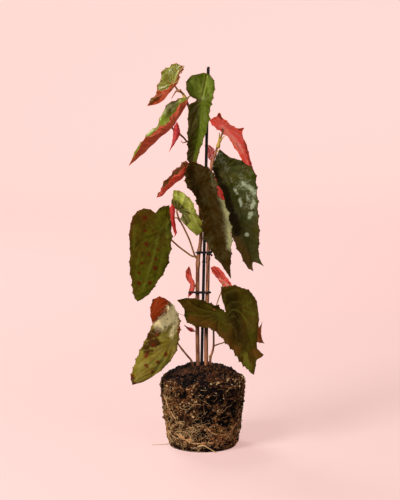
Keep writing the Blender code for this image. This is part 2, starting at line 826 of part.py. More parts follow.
def make_root_ball(group):
    """The block of soil and roots: a turned profile with crumbs, a domed top and holes for the stems."""
    sectors = 44
    side_heights = np.concatenate([[0, 0.003], np.linspace(0.010, 0.080, 8), [BALL_RADII[-1][0]]])
    dome_shares = (0.92, 0.76, 0.6, 0.44, 0.28, 0.12)
    skin = bmesh.new()
    rings = []
    turns = np.arange(sectors) * 2 * math.pi / sectors
    for height in side_heights:
        rough = 0 if height == 0 else 1
        ring = []
        for turn in turns:
            outward = Vector((math.cos(turn), math.sin(turn), 0))
            push = rough * CRUMB * noise.noise(outward * 9 + Vector((0, 0, height * 210)))
            spot = outward * (ball_radius(height) + push) + Vector((0, 0, height))
            ring.append(skin.verts.new(spot))
        rings.append(ring)
    for share in dome_shares:
        out = share * BALL_RADII[-1][1]
        spots = [(out * math.cos(turn), out * math.sin(turn)) for turn in turns]
        rings.append([skin.verts.new((x, y, soil_height(x, y))) for x, y in spots])
    for low, high in zip(rings, rings[1:]):
        for one in range(sectors):
            two = (one + 1) % sectors
            skin.faces.new((low[one], low[two], high[two], high[one]))
    skin.faces.new(rings[0][::-1])
    skin.faces.new(rings[-1])
    bmesh.ops.triangulate(skin, faces=skin.faces)
    mesh = bpy.data.meshes.new("root_ball")
    skin.to_mesh(mesh)
    skin.free()
    ball = place("root_ball", mesh, group)
    fuse(ball, root_tubes())
    fuse(ball, stem_cutters(), "DIFFERENCE")
    return finish(ball, "soil")


# Thick roots half sunk in the ball's side: start turn, end turn, start height, end height.
SIDE_ROOTS = (
    (-2.9, -2.1, 0.070, 0.034),
    (-2.7, -1.8, 0.030, 0.012),
    (-2.3, -1.2, 0.020, 0.008),
    (-1.5, -0.6, 0.034, 0.010),
    (-1.0, -0.3, 0.014, 0.040),
    (-0.4, 0.5, 0.024, 0.010),
    (0.4, 1.5, 0.012, 0.030),
    (1.2, 2.2, 0.050, 0.020),
    (2.0, 2.9, 0.010, 0.026),
    (2.7, 3.4, 0.060, 0.020),
)
# Loose root ends on the floor, in metres: one at the front, one on the left.
LOOSE_ROOTS = (
    (
        (-0.0100, -0.0400, 0.0080),
        (-0.0050, -0.0450, 0.0085),
        (0.0005, -0.0460, 0.0100),
        (0.0060, -0.0458, 0.0070),
        (0.0100, -0.0450, 0.0045),
        (0.0140, -0.0450, 0.0018),
        (0.0165, -0.0470, 0.0012),
    ),
    (
        (-0.0405, -0.0060, 0.0040),
        (-0.0450, -0.0065, 0.0016),
        (-0.0500, -0.0070, 0.0009),
        (-0.0560, -0.0072, 0.0008),
        (-0.0655, -0.0085, 0.0007),
    ),
)


def root_tubes():
    extras = new_collection("root_tubes")
    for number, (start, end, low, high) in enumerate(SIDE_ROOTS):
        share = np.linspace(0, 1, 12)
        turn = start + (end - start) * share
        height = low + (high - low) * share + 0.003 * np.sin(7 * share + number)
        sunk_ends = 0.0002 - 0.0022 * (2 * share - 1) ** 6
        out = np.array([ball_radius(level) for level in height]) + sunk_ends
        path = np.stack([out * np.cos(turn), out * np.sin(turn), height], -1)
        tube(f"root_{number}", path, np.full(12, SIDE_ROOT_RADIUS), extras, sides=0)
    for number, (points, radius) in enumerate(zip(LOOSE_ROOTS, LOOSE_RADII)):
        path = smooth(np.array(points), np.linspace(0, len(points) - 1, 2 * len(points)))
        radii = np.linspace(radius, 0.6 * radius, len(path))
        tube(f"loose_root_{number}", path, radii, extras, sides=1)
    return extras


def stem_cutters():
    """Holes a hair wider and deeper than the stems and the stake that stand in them."""
    extras = new_collection("stem_cutters")
    for name, stem in STEMS.items():
        path, radii = stem_path(stem)
        foot = path[0] + (path[0] - path[1]) / np.linalg.norm(path[0] - path[1]) * GAP
        inside = [index for index, spot in enumerate(path) if spot[2] < SOIL_CLEARED]
        route = np.concatenate([[foot], path[1 : inside[-1] + 1]])
        tube(name + "_hole", route, radii[: len(route)] + 1.6 * GAP, extras)
    bottom, top = seen(STAKE_SPOTS)
    axis = (top - bottom) / np.linalg.norm(top - bottom)
    route = np.array([bottom - axis * GAP, bottom + axis * STAKE_HOLE_LENGTH])
    tube("stake_hole", route, (STAKE_RADIUS + GAP,) * 2, extras, sides=3)
    return extras


def make_stake(group):
    bottom, top = seen(STAKE_SPOTS)
    stake = tube("stake", np.array([bottom, top]), (STAKE_RADIUS,) * 2, group, sides=3)
    finish(stake, "stake")


@dataclass(frozen=True)
class Tie:
    """A wire loop round the stems: the level it is seen at, its ends, and where its tails go."""

    level: float
    left: float
    right: float
    tails: tuple


TIES = {
    "tie_upper": Tie(
        level=252.5,
        left=199.1,
        right=208.3,
        tails=(
            ((200.5, 252.5, -3.2), (199.2, 252.4, -4.0), (198.2, 252.3, -4.6)),
            ((207.5, 252.5, -3.2), (210, 251.9, -4.2), (212.2, 250.8, -4.6)),
            ((207.2, 252.5, -3.2), (209.8, 253.8, -4.2), (211.8, 255.4, -4.6)),
        ),
    ),
    "tie_lower": Tie(
        level=292.5,
        left=197.5,
        right=207.5,
        tails=(
            ((200, 292.5, -3.2), (195.5, 292.3, -4.4), (189, 292.6, -5)),
            ((207, 292.5, -3.2), (209.3, 292, -4.4)),
        ),
    ),
}
TIE_MIDDLE = 0.8
RING_SPOT = (204, 262, 0)
RING_SIDES = 14



def circle(turns):
    """Level unit directions at these turns, in radians."""
    return np.stack([np.cos(turns), np.sin(turns), np.zeros(len(turns))], -1)


def make_ties(group):
    """Two wire loops with their twisted tails, and a thin ring on the stake."""
    for name, tie in TIES.items():
        left, right = seen([(tie.left, tie.level, TIE_MIDDLE), (tie.right, tie.level, TIE_MIDDLE)])
        turns = np.linspace(-math.pi / 2, math.pi / 2, 7)
        bow = TIE_HALF_WIDTH * circle(turns)
        path = np.concatenate([right + bow, left - bow])
        loop = tube(name, path, (TIE_WIRE_RADIUS,) * len(path), group, sides=1, closed=True)
        extras = new_collection(name + "_tails")
        for number, tail in enumerate(tie.tails):
            radii = np.linspace(TIE_WIRE_RADIUS, TIE_TAIL_RADIUS, len(tail))
            tube(f"{name}_tail_{number}", seen(tail), radii, extras, sides=1)
        finish(fuse(loop, extras), "tie")
    bottom, top = seen(STAKE_SPOTS)
    share = (seen([RING_SPOT])[0][2] - bottom[2]) / (top[2] - bottom[2])
    centre = bottom + (top - bottom) * share
    turns = np.arange(RING_SIDES) * 2 * math.pi / RING_SIDES
    path = centre + (STAKE_RADIUS + GAP + 0.0005) * circle(turns)
    ring = tube("tie_thin", path, (RING_RADIUS,) * RING_SIDES, group, sides=1, closed=True)
    finish(ring, "tie")


def main():
    clear_scene()
    plant = new_collection("begonia_with_root_ball")
    make_root_ball(plant)
    make_stake(plant)
    make_stems(plant)
    make_ties(plant)
    for name, leaf in LEAVES.items():
        make_leaf(name, leaf, plant)


main()
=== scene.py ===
"""Looks of the begonia with its bare root ball: fine leaves, canes, roots, soil and studio.

Metres, +Z up, -Y towards the viewer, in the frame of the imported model. A spot is given as it is seen from
the front: right and down in a view 400 wide and 500 high, and how many millimetres it lies behind the stake.
"""

import itertools
import logging
import math
from dataclasses import dataclass
from enum import Enum
from functools import partial
from typing import Sequence

import bpy
import numpy as np
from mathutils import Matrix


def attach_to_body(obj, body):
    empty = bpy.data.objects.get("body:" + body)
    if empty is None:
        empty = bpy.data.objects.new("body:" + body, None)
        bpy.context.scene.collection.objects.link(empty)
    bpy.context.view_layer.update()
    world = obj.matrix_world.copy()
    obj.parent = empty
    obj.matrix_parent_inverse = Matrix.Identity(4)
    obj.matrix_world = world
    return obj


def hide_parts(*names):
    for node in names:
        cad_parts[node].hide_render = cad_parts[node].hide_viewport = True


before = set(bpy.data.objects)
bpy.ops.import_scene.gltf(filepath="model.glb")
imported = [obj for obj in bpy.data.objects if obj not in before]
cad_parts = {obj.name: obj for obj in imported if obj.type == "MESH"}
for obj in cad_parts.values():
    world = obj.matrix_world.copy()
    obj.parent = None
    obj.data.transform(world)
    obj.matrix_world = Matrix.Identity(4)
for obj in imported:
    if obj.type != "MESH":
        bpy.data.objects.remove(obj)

log = logging.getLogger("begonia")
Array = np.ndarray
Colour = tuple[int, int, int]
Piece = bpy.types.Object
Socket = bpy.types.NodeSocket
Chance = np.random.Generator
HALF_TURN = math.pi
FULL_TURN = 2 * math.pi
BLACK = (0, 0, 0)


def shade(colour: Colour) -> tuple[float, ...]:
    """The linear values of an everyday 0 to 255 colour."""
    return tuple(((part / 255 + 0.055) / 1.055) ** 2.4 if part > 10 else part / 3295 for part in colour)


class FrontView:
    """The eye in front of the plant, and the scale that it sees at."""

    eye = np.array([-0.00375, -2.2, 0.5963])
    looks_at_height = 0.2523
    centre = (200.0, 250.0)
    scale = 1759.7
    tilt = math.atan2(eye[2] - looks_at_height, -eye[1])
    cos, sin = math.cos(tilt), math.sin(tilt)

    @classmethod
    def world(cls, spots: Sequence) -> Array:
        """World points of spots.

        Args:
            spots: an array (..., 3) of right, down, millimetres behind the stake.

        Returns:
            Points (..., 3) in metres: the ray through the spot, followed to that depth.
        """
        spots = np.asarray(spots, float)
        right = (spots[..., 0] - cls.centre[0]) / cls.scale
        up = (cls.centre[1] - spots[..., 1]) / cls.scale
        ray = np.stack([right, cls.cos + up * cls.sin, up * cls.cos - cls.sin], -1)
        reach = (spots[..., 2] / 1000 - cls.eye[1]) / ray[..., 1]
        return cls.eye + ray * reach[..., None]

    @classmethod
    def seen_at(cls, points: Array) -> Array:
        """Where world points are seen.

        Args:
            points: an array (..., 3) in metres.

        Returns:
            An array (..., 2) of right and down in the view.
        """
        away = points - cls.eye
        deep = away[..., 1] * cls.cos - away[..., 2] * cls.sin
        high = away[..., 1] * cls.sin + away[..., 2] * cls.cos
        right = cls.centre[0] + cls.scale * away[..., 0] / deep
        return np.stack([right, cls.centre[1] - cls.scale * high / deep], -1)


def curve_through(points: Array, at: Array) -> Array:
    """The smooth curve through rows of points: a cubic that takes each row's slope from its neighbours.

    Args:
        points: an array (n, ...) of rows.
        at: places along it, from 0 to n - 1.

    Returns:
        One row for each place.
    """
    padded = np.concatenate([2 * points[:1] - points[1:2], points, 2 * points[-1:] - points[-2:-1]])
    first = np.clip(np.floor(at).astype(int), 0, len(points) - 2)
    part = (at - first).reshape(-1, *[1] * (points.ndim - 1))
    a, b, c, d = (padded[first + step] for step in range(4))
    square = (2 * a - 5 * b + 4 * c - d) * part**2
    return 0.5 * (2 * b + (c - a) * part + square + (3 * b - a - 3 * c + d) * part**3)


def unit(vectors: Array) -> Array:
    """The vectors at length one."""
    return vectors / np.maximum(np.linalg.norm(vectors, axis=-1, keepdims=True), 1e-12)


def bell(value: Array, width: float) -> Array:
    """1 at zero, falling off as exp(-(value / width)²)."""
    return np.exp(-((value / width) ** 2))


def ramp(value: Array, low: float, high: float) -> Array:
    """0 below low, 1 above high, and 3t² - 2t³ between them.

    Args:
        value: an array of any shape.
        low: where it leaves 0.
        high: where it reaches 1.

    Returns:
        An array of the same shape.
    """
    part = np.clip((value - low) / (high - low), 0, 1)
    return part * part * (3 - 2 * part)


def level_ring(turns: Array) -> Array:
    """Directions on a level circle at the given turns, an array (n, 3)."""
    return np.stack([np.cos(turns), np.sin(turns), 0 * turns], -1)


def lumps(points: Array, size: float, seed: int) -> Array:
    """Smooth noise from -1 to 1: random values at the corners of a cubic lattice, blended between them.

    Args:
        points: an array (..., 3) in metres.
        size: the lattice's spacing in metres.
        seed: which noise of many.

    Returns:
        One value for each point.
    """
    scaled = points / size + 31.7 * seed + 500
    corner = np.floor(scaled).astype(np.int64)
    part = scaled - corner
    part = part * part * (3 - 2 * part)
    total = np.zeros(points.shape[:-1])
    for step in itertools.product((0, 1), repeat=3):
        near = corner + np.array(step)
        code = near[..., 0] * 73856093 ^ near[..., 1] * 19349663 ^ near[..., 2] * 83492791
        for shift, factor in ((13, 60493), (11, 19973)):
            code = (code ^ (code >> shift)) * factor & 0x7FFFFFFF
        weight = np.prod(np.where(np.array(step) == 1, part, 1 - part), -1)
        total += weight * (code / 0x3FFFFFFF - 1)
    return total


def build_mesh(name: str, points: Array, quads: Array, triangles: Array | None = None) -> Piece:
    """A smooth mesh object at the origin, in the scene.

    Args:
        name: the piece's name.
        points: an array (n, 3) in metres.
        quads: an array (m, 4) of corners, facing outwards.
        triangles: an array (k, 3) of corners, or nothing.

    Returns:
        The piece, which has no material yet.
    """
    triangles = np.zeros((0, 3), int) if triangles is None else triangles
    corners = np.concatenate([quads.reshape(-1), triangles.reshape(-1)]).astype(np.int32)
    starts = np.concatenate([np.arange(len(quads)) * 4, len(quads) * 4 + np.arange(len(triangles)) * 3])
    mesh = bpy.data.meshes.new(name)
    mesh.vertices.add(len(points))
    mesh.vertices.foreach_set("co", points.astype(np.float32).reshape(-1))
    mesh.loops.add(len(corners))
    mesh.loops.foreach_set("vertex_index", corners)
    mesh.polygons.add(len(starts))
    mesh.polygons.foreach_set("loop_start", starts.astype(np.int32))
    mesh.update(calc_edges=True)
    mesh.validate()
    mesh.shade_smooth()
    piece = bpy.data.objects.new(name, mesh)
    bpy.context.scene.collection.objects.link(piece)
    return piece


def mark_points(piece: Piece, **layers: Array) -> None:
    """Stores values for the piece's material.

    Args:
        piece: the mesh object.
        layers: one value a point for each named layer.
    """
    for name, values in layers.items():
        layer = piece.data.attributes.new(name, "FLOAT", "POINT")
        layer.data.foreach_set("value", values.astype(np.float32).reshape(-1))


def spread_flat(piece: Piece, flat: Array) -> None:
    """Gives each corner of the mesh the flat place of its point.

    Args:
        piece: the mesh object.
        flat: an array (n, 2), one place a point.
    """
    corners = np.zeros(len(piece.data.loops), np.int32)
    piece.data.loops.foreach_get("vertex_index", corners)
    layer = piece.data.uv_layers.new(name="flat")
    layer.data.foreach_set("uv", flat[corners].astype(np.float32).reshape(-1))


def ring_quads(stations: int, ring: int) -> Array:
    """The quads between rings of points that follow each other.

    Args:
        stations: how many rings there are.
        ring: how many points each ring has.

    Returns:
        An array (m, 4) of corners.
    """
    row, col = np.meshgrid(np.arange(stations - 1), np.arange(ring), indexing="ij")
    here, after, above = row * ring + col, row * ring + (col + 1) % ring, ring
    return np.stack([here, after, after + above, here + above], -1).reshape(-1, 4)


def fan(ring: int, start: int, middle: int, upwards: bool) -> Array:
    """The triangles that close a ring of points on a middle point.

    Args:
        ring: how many points the ring has.
        start: the number of its first point.
        middle: the number of the middle point.
        upwards: whether the triangles go round with the ring, or against it.

    Returns:
        An array (ring, 3) of corners.
    """
    turn = np.arange(ring)
    after = (turn + 1) % ring
    pair = (start + turn, start + after) if upwards else (start + after, start + turn)
    return np.stack([*pair, np.full(ring, middle)], -1)


def hand_over(piece: Piece, plain: str = "") -> Piece:
    """Fixes the piece to the plant's one body.

    Args:
        piece: the finished piece.
        plain: the plain node that it stands for, if there is one.

    Returns:
        The same piece.
    """
    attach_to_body(piece, "root")
    if plain:
        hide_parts(plain)
    return piece


class Tubes:
    """Many round bars gathered in one mesh, each a ring carried along its path."""

    cap_girths = np.array([0.0, 0.6, 0.9, 1.0])
    cap_length = 0.7
    cap_steps = 3

    def __init__(self, sides: int) -> None:
        """Starts with no bars.

        Args:
            sides: how many points the ring of each bar has.
        """
        self.sides = sides
        self.points: list[Array] = []
        self.quads: list[Array] = []
        self.triangles: list[Array] = []
        self.layers: list[Array] = []
        self.count = 0

    def add(self, path: Array, radii: Array, kind: float = 0.0, squash: float = 1.0) -> None:
        """Adds a bar with rounded ends.

        Its ring stands square to the path on a frame that is turned as little as it can be.

        Args:
            path: an array (n, 3) in metres.
            radii: the bar's radius at each point.
            kind: a value kept for the material.
            squash: the ring's second radius over its first.
        """
        ahead = unit(np.gradient(path, axis=0))
        girths = self.cap_girths
        bulge = (1 - girths[:, None] ** 2) ** 0.5
        start = path[0] - ahead[0] * radii[0] * bulge * self.cap_length
        end = path[-1] + ahead[-1] * radii[-1] * bulge[::-1] * self.cap_length
        whole = np.concatenate([start[:-1], path, end[1:]])
        girth = np.concatenate([girths[:-1] * radii[0], radii, girths[-2::-1] * radii[-1]])
        first, last = (part.repeat(self.cap_steps, 0) for part in (ahead[:1], ahead[-1:]))
        ahead = np.concatenate([first, ahead, last])
        side = np.zeros_like(ahead)
        guess = np.array([0.0, 1.0, 0.0]) if abs(ahead[0, 1]) < 0.9 else np.array([1.0, 0.0, 0.0])
        for index, way in enumerate(ahead):
            guess = guess - way * guess.dot(way)
            guess = guess / max(np.linalg.norm(guess), 1e-9)
            side[index] = guess
        other = np.cross(ahead, side)
        turns = np.arange(self.sides) * FULL_TURN / self.sides
        cos, sin = (part(turns)[None, :, None] for part in (np.cos, np.sin))
        ring = cos * side[:, None] + squash * sin * other[:, None]
        body = whole[1:-1, None] + ring[1:-1] * girth[1:-1, None, None]
        poles = len(body) * self.sides
        foot = fan(self.sides, 0, poles, False)
        tip = fan(self.sides, poles - self.sides, poles + 1, True)
        self.points.append(np.concatenate([body.reshape(-1, 3), whole[:1], whole[-1:]]))
        self.quads.append(ring_quads(len(body), self.sides) + self.count)
        self.triangles.append(np.concatenate([foot, tip]) + self.count)
        self.layers.append(np.full(poles + 2, kind))
        self.count += poles + 2

    def build(self, name: str) -> Piece:
        """All the bars as one mesh object.

        Args:
            name: the piece's name.

        Returns:
            The piece, with each bar's kind in its layer named kind.
        """
        points = np.concatenate(self.points)
        piece = build_mesh(name, points, np.concatenate(self.quads), np.concatenate(self.triangles))
        mark_points(piece, kind=np.concatenate(self.layers))
        return piece


class Paint:
    """Makes the nodes of one material or shared effect, each by a short call. Colours are 0 to 255 ones."""

    def __init__(self, tree: bpy.types.NodeTree) -> None:
        """Works on one node tree.

        Args:
            tree: a material's tree, or a shared effect's.
        """
        self.tree = tree
        self.shader = tree.nodes.get("Principled BSDF")

    def node(self, kind: str, **settings: object) -> bpy.types.Node:
        """A new shader node.

        Args:
            kind: what it is, such as Math.
            settings: the node's properties.

        Returns:
            The node.
        """
        node = self.tree.nodes.new("ShaderNode" + kind)
        for name, value in settings.items():
            setattr(node, name, value)
        return node

    def feed(self, socket: Socket, value: object) -> None:
        """Fills an input.

        Args:
            socket: the input.
            value: another node's output, a number or a colour.
        """
        if isinstance(value, bpy.types.NodeSocket):
            self.tree.links.new(value, socket)
        else:
            socket.default_value = (*shade(value), 1.0) if socket.type == "RGBA" else value

    def layer(self, name: str) -> Socket:
        """The value that the mesh keeps for each point in the named layer."""
        return self.node("Attribute", attribute_name=name).outputs["Fac"]

    def place(self) -> Socket:
        """The point's place in metres."""
        return self.node("TexCoord").outputs["Object"]

    def flat(self) -> Socket:
        """The point's place on the leaf laid flat."""
        return self.node("UVMap", uv_map="flat").outputs["UV"]

    def sum(self, how: str, *values: object) -> Socket:
        """A Math node.

        Args:
            how: its operation.
            values: its inputs in order.

        Returns:
            Its result.
        """
        node = self.node("Math", operation=how)
        for socket, value in zip(node.inputs, values):
            self.feed(socket, value)
        return node.outputs[0]

    def times(self, first: object, second: object) -> Socket:
        """The product of two values."""
        return self.sum("MULTIPLY", first, second)

    def plus(self, first: object, second: object) -> Socket:
        """Two values added."""
        return self.sum("ADD", first, second)

    def less(self, first: object, second: object) -> Socket:
        """The first value less the second."""
        return self.sum("SUBTRACT", first, second)

    def mix(self, share: object, first: object, second: object) -> Socket:
        """One colour laid over another.

        Args:
            share: how much of the second shows, from 0 to 1.
            first: the colour below.
            second: the colour on top.

        Returns:
            The mixed colour.
        """
        node = self.node("Mix", data_type="RGBA", blend_type="MIX")
        sockets = (node.inputs["Factor"], node.inputs[6], node.inputs[7])
        for socket, value in zip(sockets, (share, first, second)):
            self.feed(socket, value)
        return node.outputs[2]

    def reach(
        self, value: object, low: object, high: object, start: float = 0.0, end: float = 1.0
    ) -> Socket:
        """A smooth step.

        Args:
            value: the value that it follows.
            low: where the step begins.
            high: where it is over.
            start: what it gives below low.
            end: what it gives above high.

        Returns:
            The step's value.
        """
        node = self.node("MapRange", interpolation_type="SMOOTHSTEP")
        for socket, given in zip(node.inputs, (value, low, high, start, end)):
            self.feed(socket, given)
        return node.outputs[0]

    def texture(self, kind: str, where: object, scale: object, **settings: object) -> bpy.types.Node:
        """A texture node.

        Args:
            kind: what it is, such as Voronoi.
            where: the place that it is read at.
            scale: how many features it has a unit.
            settings: the node's properties.

        Returns:
            The node.
        """
        node = self.node("Tex" + kind, **settings)
        self.feed(node.inputs["Vector"], where)
        self.feed(node.inputs["Scale"], scale)
        return node

    def noise(self, where: object, scale: object, detail: float = 3.0, rough: float = 0.55) -> Socket:
        """Soft noise.

        Args:
            where: the place that it is read at.
            scale: how many lumps it has a unit.
            detail: how many finer sizes are added.
            rough: how strong each finer size is.

        Returns:
            A value from 0 to 1.
        """
        node = self.texture("Noise", where, scale)
        node.inputs["Detail"].default_value = detail
        node.inputs["Roughness"].default_value = rough
        return node.outputs["Fac"]

    def group(self, tree: bpy.types.NodeTree, **inputs: object) -> bpy.types.bpy_prop_collection:
        """Places a shared effect.

        Args:
            tree: the effect.
            inputs: its values here.

        Returns:
            Its outputs.
        """
        node = self.node("Group", node_tree=tree)
        for name, value in inputs.items():
            self.feed(node.inputs[name], value)
        return node.outputs

    def surface(
        self, colour: Socket, rough: Socket, height: Socket, strength: float, distance: float
    ) -> None:
        """Feeds the shader its colour, its roughness and a bump.

        Args:
            colour: the base colour.
            rough: the roughness.
            height: the relief that the bump shows.
            strength: the bump's strength.
            distance: the bump's depth in metres.
        """
        bump = self.node("Bump")
        bump.inputs["Strength"].default_value = strength
        bump.inputs["Distance"].default_value = distance
        self.feed(bump.inputs["Height"], height)
        for name, value in (("Base Color", colour), ("Roughness", rough), ("Normal", bump.outputs[0])):
            self.feed(self.shader.inputs[name], value)

    def fix(self, **values: object) -> None:
        """Sets the shader's inputs that don't vary.

        Args:
            values: the values, with _ for a space in an input's name.
        """
        for name, value in values.items():
            self.shader.inputs[name.replace("_", " ")].default_value = value


class Effect:
    """A shared effect under way: a node group with its paint, what it is given and what it gives back."""

    def __init__(self, name: str, inputs: tuple[str, ...], outputs: tuple[str, ...]) -> None:
        """Starts the group.

        Args:
            name: the group's name.
            inputs: what it is given. Where is a place, and every other input is a plain value.
            outputs: the plain values that it gives back.
        """
        self.tree = bpy.data.node_groups.new(name, "ShaderNodeTree")
        for labels, way in ((inputs, "INPUT"), (outputs, "OUTPUT")):
            for label in labels:
                kind = "NodeSocketVector" if label == "Where" else "NodeSocketFloat"
                self.tree.interface.new_socket(name=label, in_out=way, socket_type=kind)
        self.paint = Paint(self.tree)
        self.given = self.tree.nodes.new("NodeGroupInput").outputs
        self.back = self.tree.nodes.new("NodeGroupOutput").inputs

    def give(self, **results: Socket) -> bpy.types.NodeTree:
        """Joins the results to the outputs.

        Args:
            results: a value for each output.

        Returns:
            The finished group.
        """
        for name, value in results.items():
            self.paint.feed(self.back[name], value)
        return self.tree


class Effects:
    """The shared effects: blotches, crumb and leaf skin."""

    def __init__(self) -> None:
        """Builds each effect once."""
        self.blotch = self.build_blotch()
        self.crumb = self.build_crumb()
        self.skin = self.build_skin()

    @staticmethod
    def build_blotch() -> bpy.types.NodeTree:
        """Two sizes of soft patches laid over each other.

        Returns:
            The group. Its Mask runs from 0 to 1, and Fine is the smaller size.
        """
        effect = Effect("soft blotches", ("Where", "Scale", "Edge"), ("Mask", "Fine"))
        paint, given = effect.paint, effect.given
        broad = paint.noise(given["Where"], given["Scale"], 2.0, 0.5)
        fine = paint.noise(given["Where"], paint.times(given["Scale"], 4.3), 4.0, 0.5)
        both = paint.plus(paint.times(broad, 0.7), paint.times(fine, 0.3))
        mask = paint.reach(both, paint.less(0.5, given["Edge"]), paint.plus(0.5, given["Edge"]))
        return effect.give(Mask=mask, Fine=fine)

    @staticmethod
    def build_crumb() -> bpy.types.NodeTree:
        """Peat crumbs: the distance to the middle of cells of two sizes.

        Returns:
            The group. Its Height is high on a crumb, its second output is the painted shade that lies
            between crumbs, and Tone is one value a crumb.
        """
        effect = Effect("peat crumb", ("Where", "Scale"), ("Height", "Gap", "Tone"))
        paint, given = effect.paint, effect.given
        coarse = paint.texture("Voronoi", given["Where"], given["Scale"]).outputs
        small = paint.texture("Voronoi", given["Where"], paint.times(given["Scale"], 2.6)).outputs
        near = paint.plus(coarse["Distance"], paint.times(small["Distance"], 0.5))
        tone = paint.node("SeparateColor")
        paint.feed(tone.inputs[0], coarse["Color"])
        # painted shade between the crumbs
        gap = paint.reach(near, 0.55, 0.95)
        return effect.give(Height=paint.less(1.0, near), Gap=gap, Tone=tone.outputs[0])

    @staticmethod
    def build_skin() -> bpy.types.NodeTree:
        """A leaf's skin laid flat.

        Returns:
            The group. Its Net is a net of small veins, and Pebble the cells between them.
        """
        effect = Effect("leaf skin", ("Where", "Scale"), ("Net", "Pebble"))
        paint, given = effect.paint, effect.given
        shift = paint.node("VectorMath", operation="MULTIPLY_ADD")
        wobble = paint.texture("Noise", given["Where"], 22.0).outputs["Color"]
        for socket, value in zip(shift.inputs, (wobble, (0.03, 0.03, 0.0), given["Where"])):
            paint.feed(socket, value)
        where = shift.outputs[0]
        net = paint.texture("Voronoi", where, given["Scale"], feature="DISTANCE_TO_EDGE").outputs["Distance"]
        finer = paint.times(given["Scale"], 3.2)
        pebble = paint.texture("Voronoi", where, finer, feature="SMOOTH_F1").outputs["Distance"]
        return effect.give(Net=paint.reach(net, 0.0, 0.09, 1.0, 0.0), Pebble=paint.less(1.0, pebble))


@dataclass(frozen=True)
class Finish:
    """What a piece is dressed in: a material that is made when the first piece takes it."""

    name: str

    def dress(self, piece: Piece, effects: Effects) -> None:
        """Gives the piece this finish.

        Args:
            piece: the mesh object.
            effects: the shared effects.
        """
        material = bpy.data.materials.get(self.name)
        if material is None:
            material = bpy.data.materials.new(self.name)
            material.use_nodes = True
            self.colour(Paint(material.node_tree), effects)
        piece.data.materials.clear()
        piece.data.materials.append(material)

    def colour(self, paint: Paint, effects: Effects) -> None:
        """Builds the material's nodes. Each kind of finish has its own."""
        raise NotImplementedError


@dataclass(frozen=True)
class LeafFinish(Finish):
    """A leaf's colours: the upper side, the underside, and what each zone turns them to."""

    upper: Colour
    under: Colour
    # pale: the leaf's pale tone, and the colour of its painted highlights and sheen
    pale: Colour
    # dark: the leaf's dark tone and grain, and the colour of its painted shade
    dark: Colour
    warm: Colour
    spot: Colour
    vein: Colour
    under_vein: Colour
    rim: Colour
    vein_share: float = 0.5
    gloss: float = 0.5
    shine: float = 0.1
    mottle: float = 0.5
    glow: float = 0.0
    # painted glow: the share of the leaf's colour that it gives off as light
    painted_glow: float = 0.0
    # painted sheen: how brightly the pale zone's painted highlights glow
    painted_sheen: float = 0.0
    flake: float = 0.35
    grain: float = 0.2

    def colour(self, paint: Paint, effects: Effects) -> None:
        """Builds the nodes.

        The mesh's side, vein, spot, pale, dark, warm and rim layers say where each colour lies; pale also
        lays painted highlights, dark painted shade.
        Blotches vary the green, a net of small veins crosses it, and a fine bump follows the net.

        Args:
            paint: the material's paint.
            effects: the shared effects.
        """
        place = paint.place()
        skin = paint.group(effects.skin, Where=paint.flat(), Scale=34.0)
        blotch, broad, speckle = (
            paint.group(effects.blotch, Where=place, Scale=scale, Edge=edge)
            for scale, edge in ((95.0, 0.16), (42.0, 0.11), (230.0, 0.10))
        )
        side = paint.layer("side")
        top = paint.mix(paint.times(blotch["Mask"], 0.10), self.upper, self.pale)
        top = paint.mix(paint.times(broad["Mask"], self.mottle), top, self.warm)
        top = paint.mix(paint.times(speckle["Mask"], self.grain), top, self.dark)
        low = paint.mix(paint.times(blotch["Mask"], 0.30), self.under, self.warm)
        colour = paint.mix(side, low, top)
        colour = paint.mix(paint.times(skin["Net"], 0.8 * self.grain), colour, self.dark)
        uneven = paint.less(blotch["Fine"], 0.5)
        # Pale patches lay pale tone and painted highlights, dark ones dark tone and painted shade, warm ones
        # warm tone.
        patches = {
            "warm": (self.warm, 0.92, 0.35),
            "pale": (self.pale, 0.9, self.flake),
            "dark": (self.dark, 0.92, 0.35),
        }
        ragged = {}
        for zone, (tint, share, flake) in patches.items():
            layer = paint.layer(zone)
            inside = paint.reach(layer, 0.0, 0.3, 0.0, flake)
            ragged[zone] = paint.plus(layer, paint.times(uneven, inside))
            colour = paint.mix(paint.times(paint.reach(ragged[zone], 0.12, 0.85), share), colour, tint)
        line = paint.mix(side, self.under_vein, self.vein)
        colour = paint.mix(paint.times(paint.layer("vein"), self.vein_share), colour, line)
        dots = paint.plus(paint.layer("spot"), paint.times(uneven, 0.5))
        colour = paint.mix(paint.reach(dots, 0.15, 0.85, 0.0, 0.85), colour, self.spot)
        colour = paint.mix(paint.times(paint.layer("rim"), 0.75), colour, self.rim)
        rough = paint.reach(blotch["Fine"], 0.3, 0.7, self.gloss - 0.05, self.gloss + 0.09)
        height = paint.plus(paint.times(skin["Pebble"], 0.6), paint.times(skin["Net"], -0.5))
        paint.surface(colour, rough, height, 0.45, 0.0005)
        # the pale zone's painted highlights glow in the pale colour
        sheen_glow = paint.reach(ragged["pale"], 0.12, 0.85, 0.0, self.painted_sheen)
        # The emission paints light: the leaf glows with a share of its colour, over which the pale zone
        # glows with painted sheen.
        painted_glow = paint.mix(sheen_glow, paint.mix(self.painted_glow, BLACK, colour), self.pale)
        paint.feed(paint.shader.inputs["Emission Color"], painted_glow)
        paint.fix(Emission_Strength=1.0, Specular_IOR_Level=self.shine, Subsurface_Weight=self.glow)
        paint.fix(Subsurface_Radius=(0.004, 0.0018, 0.0008), Subsurface_Scale=0.9)


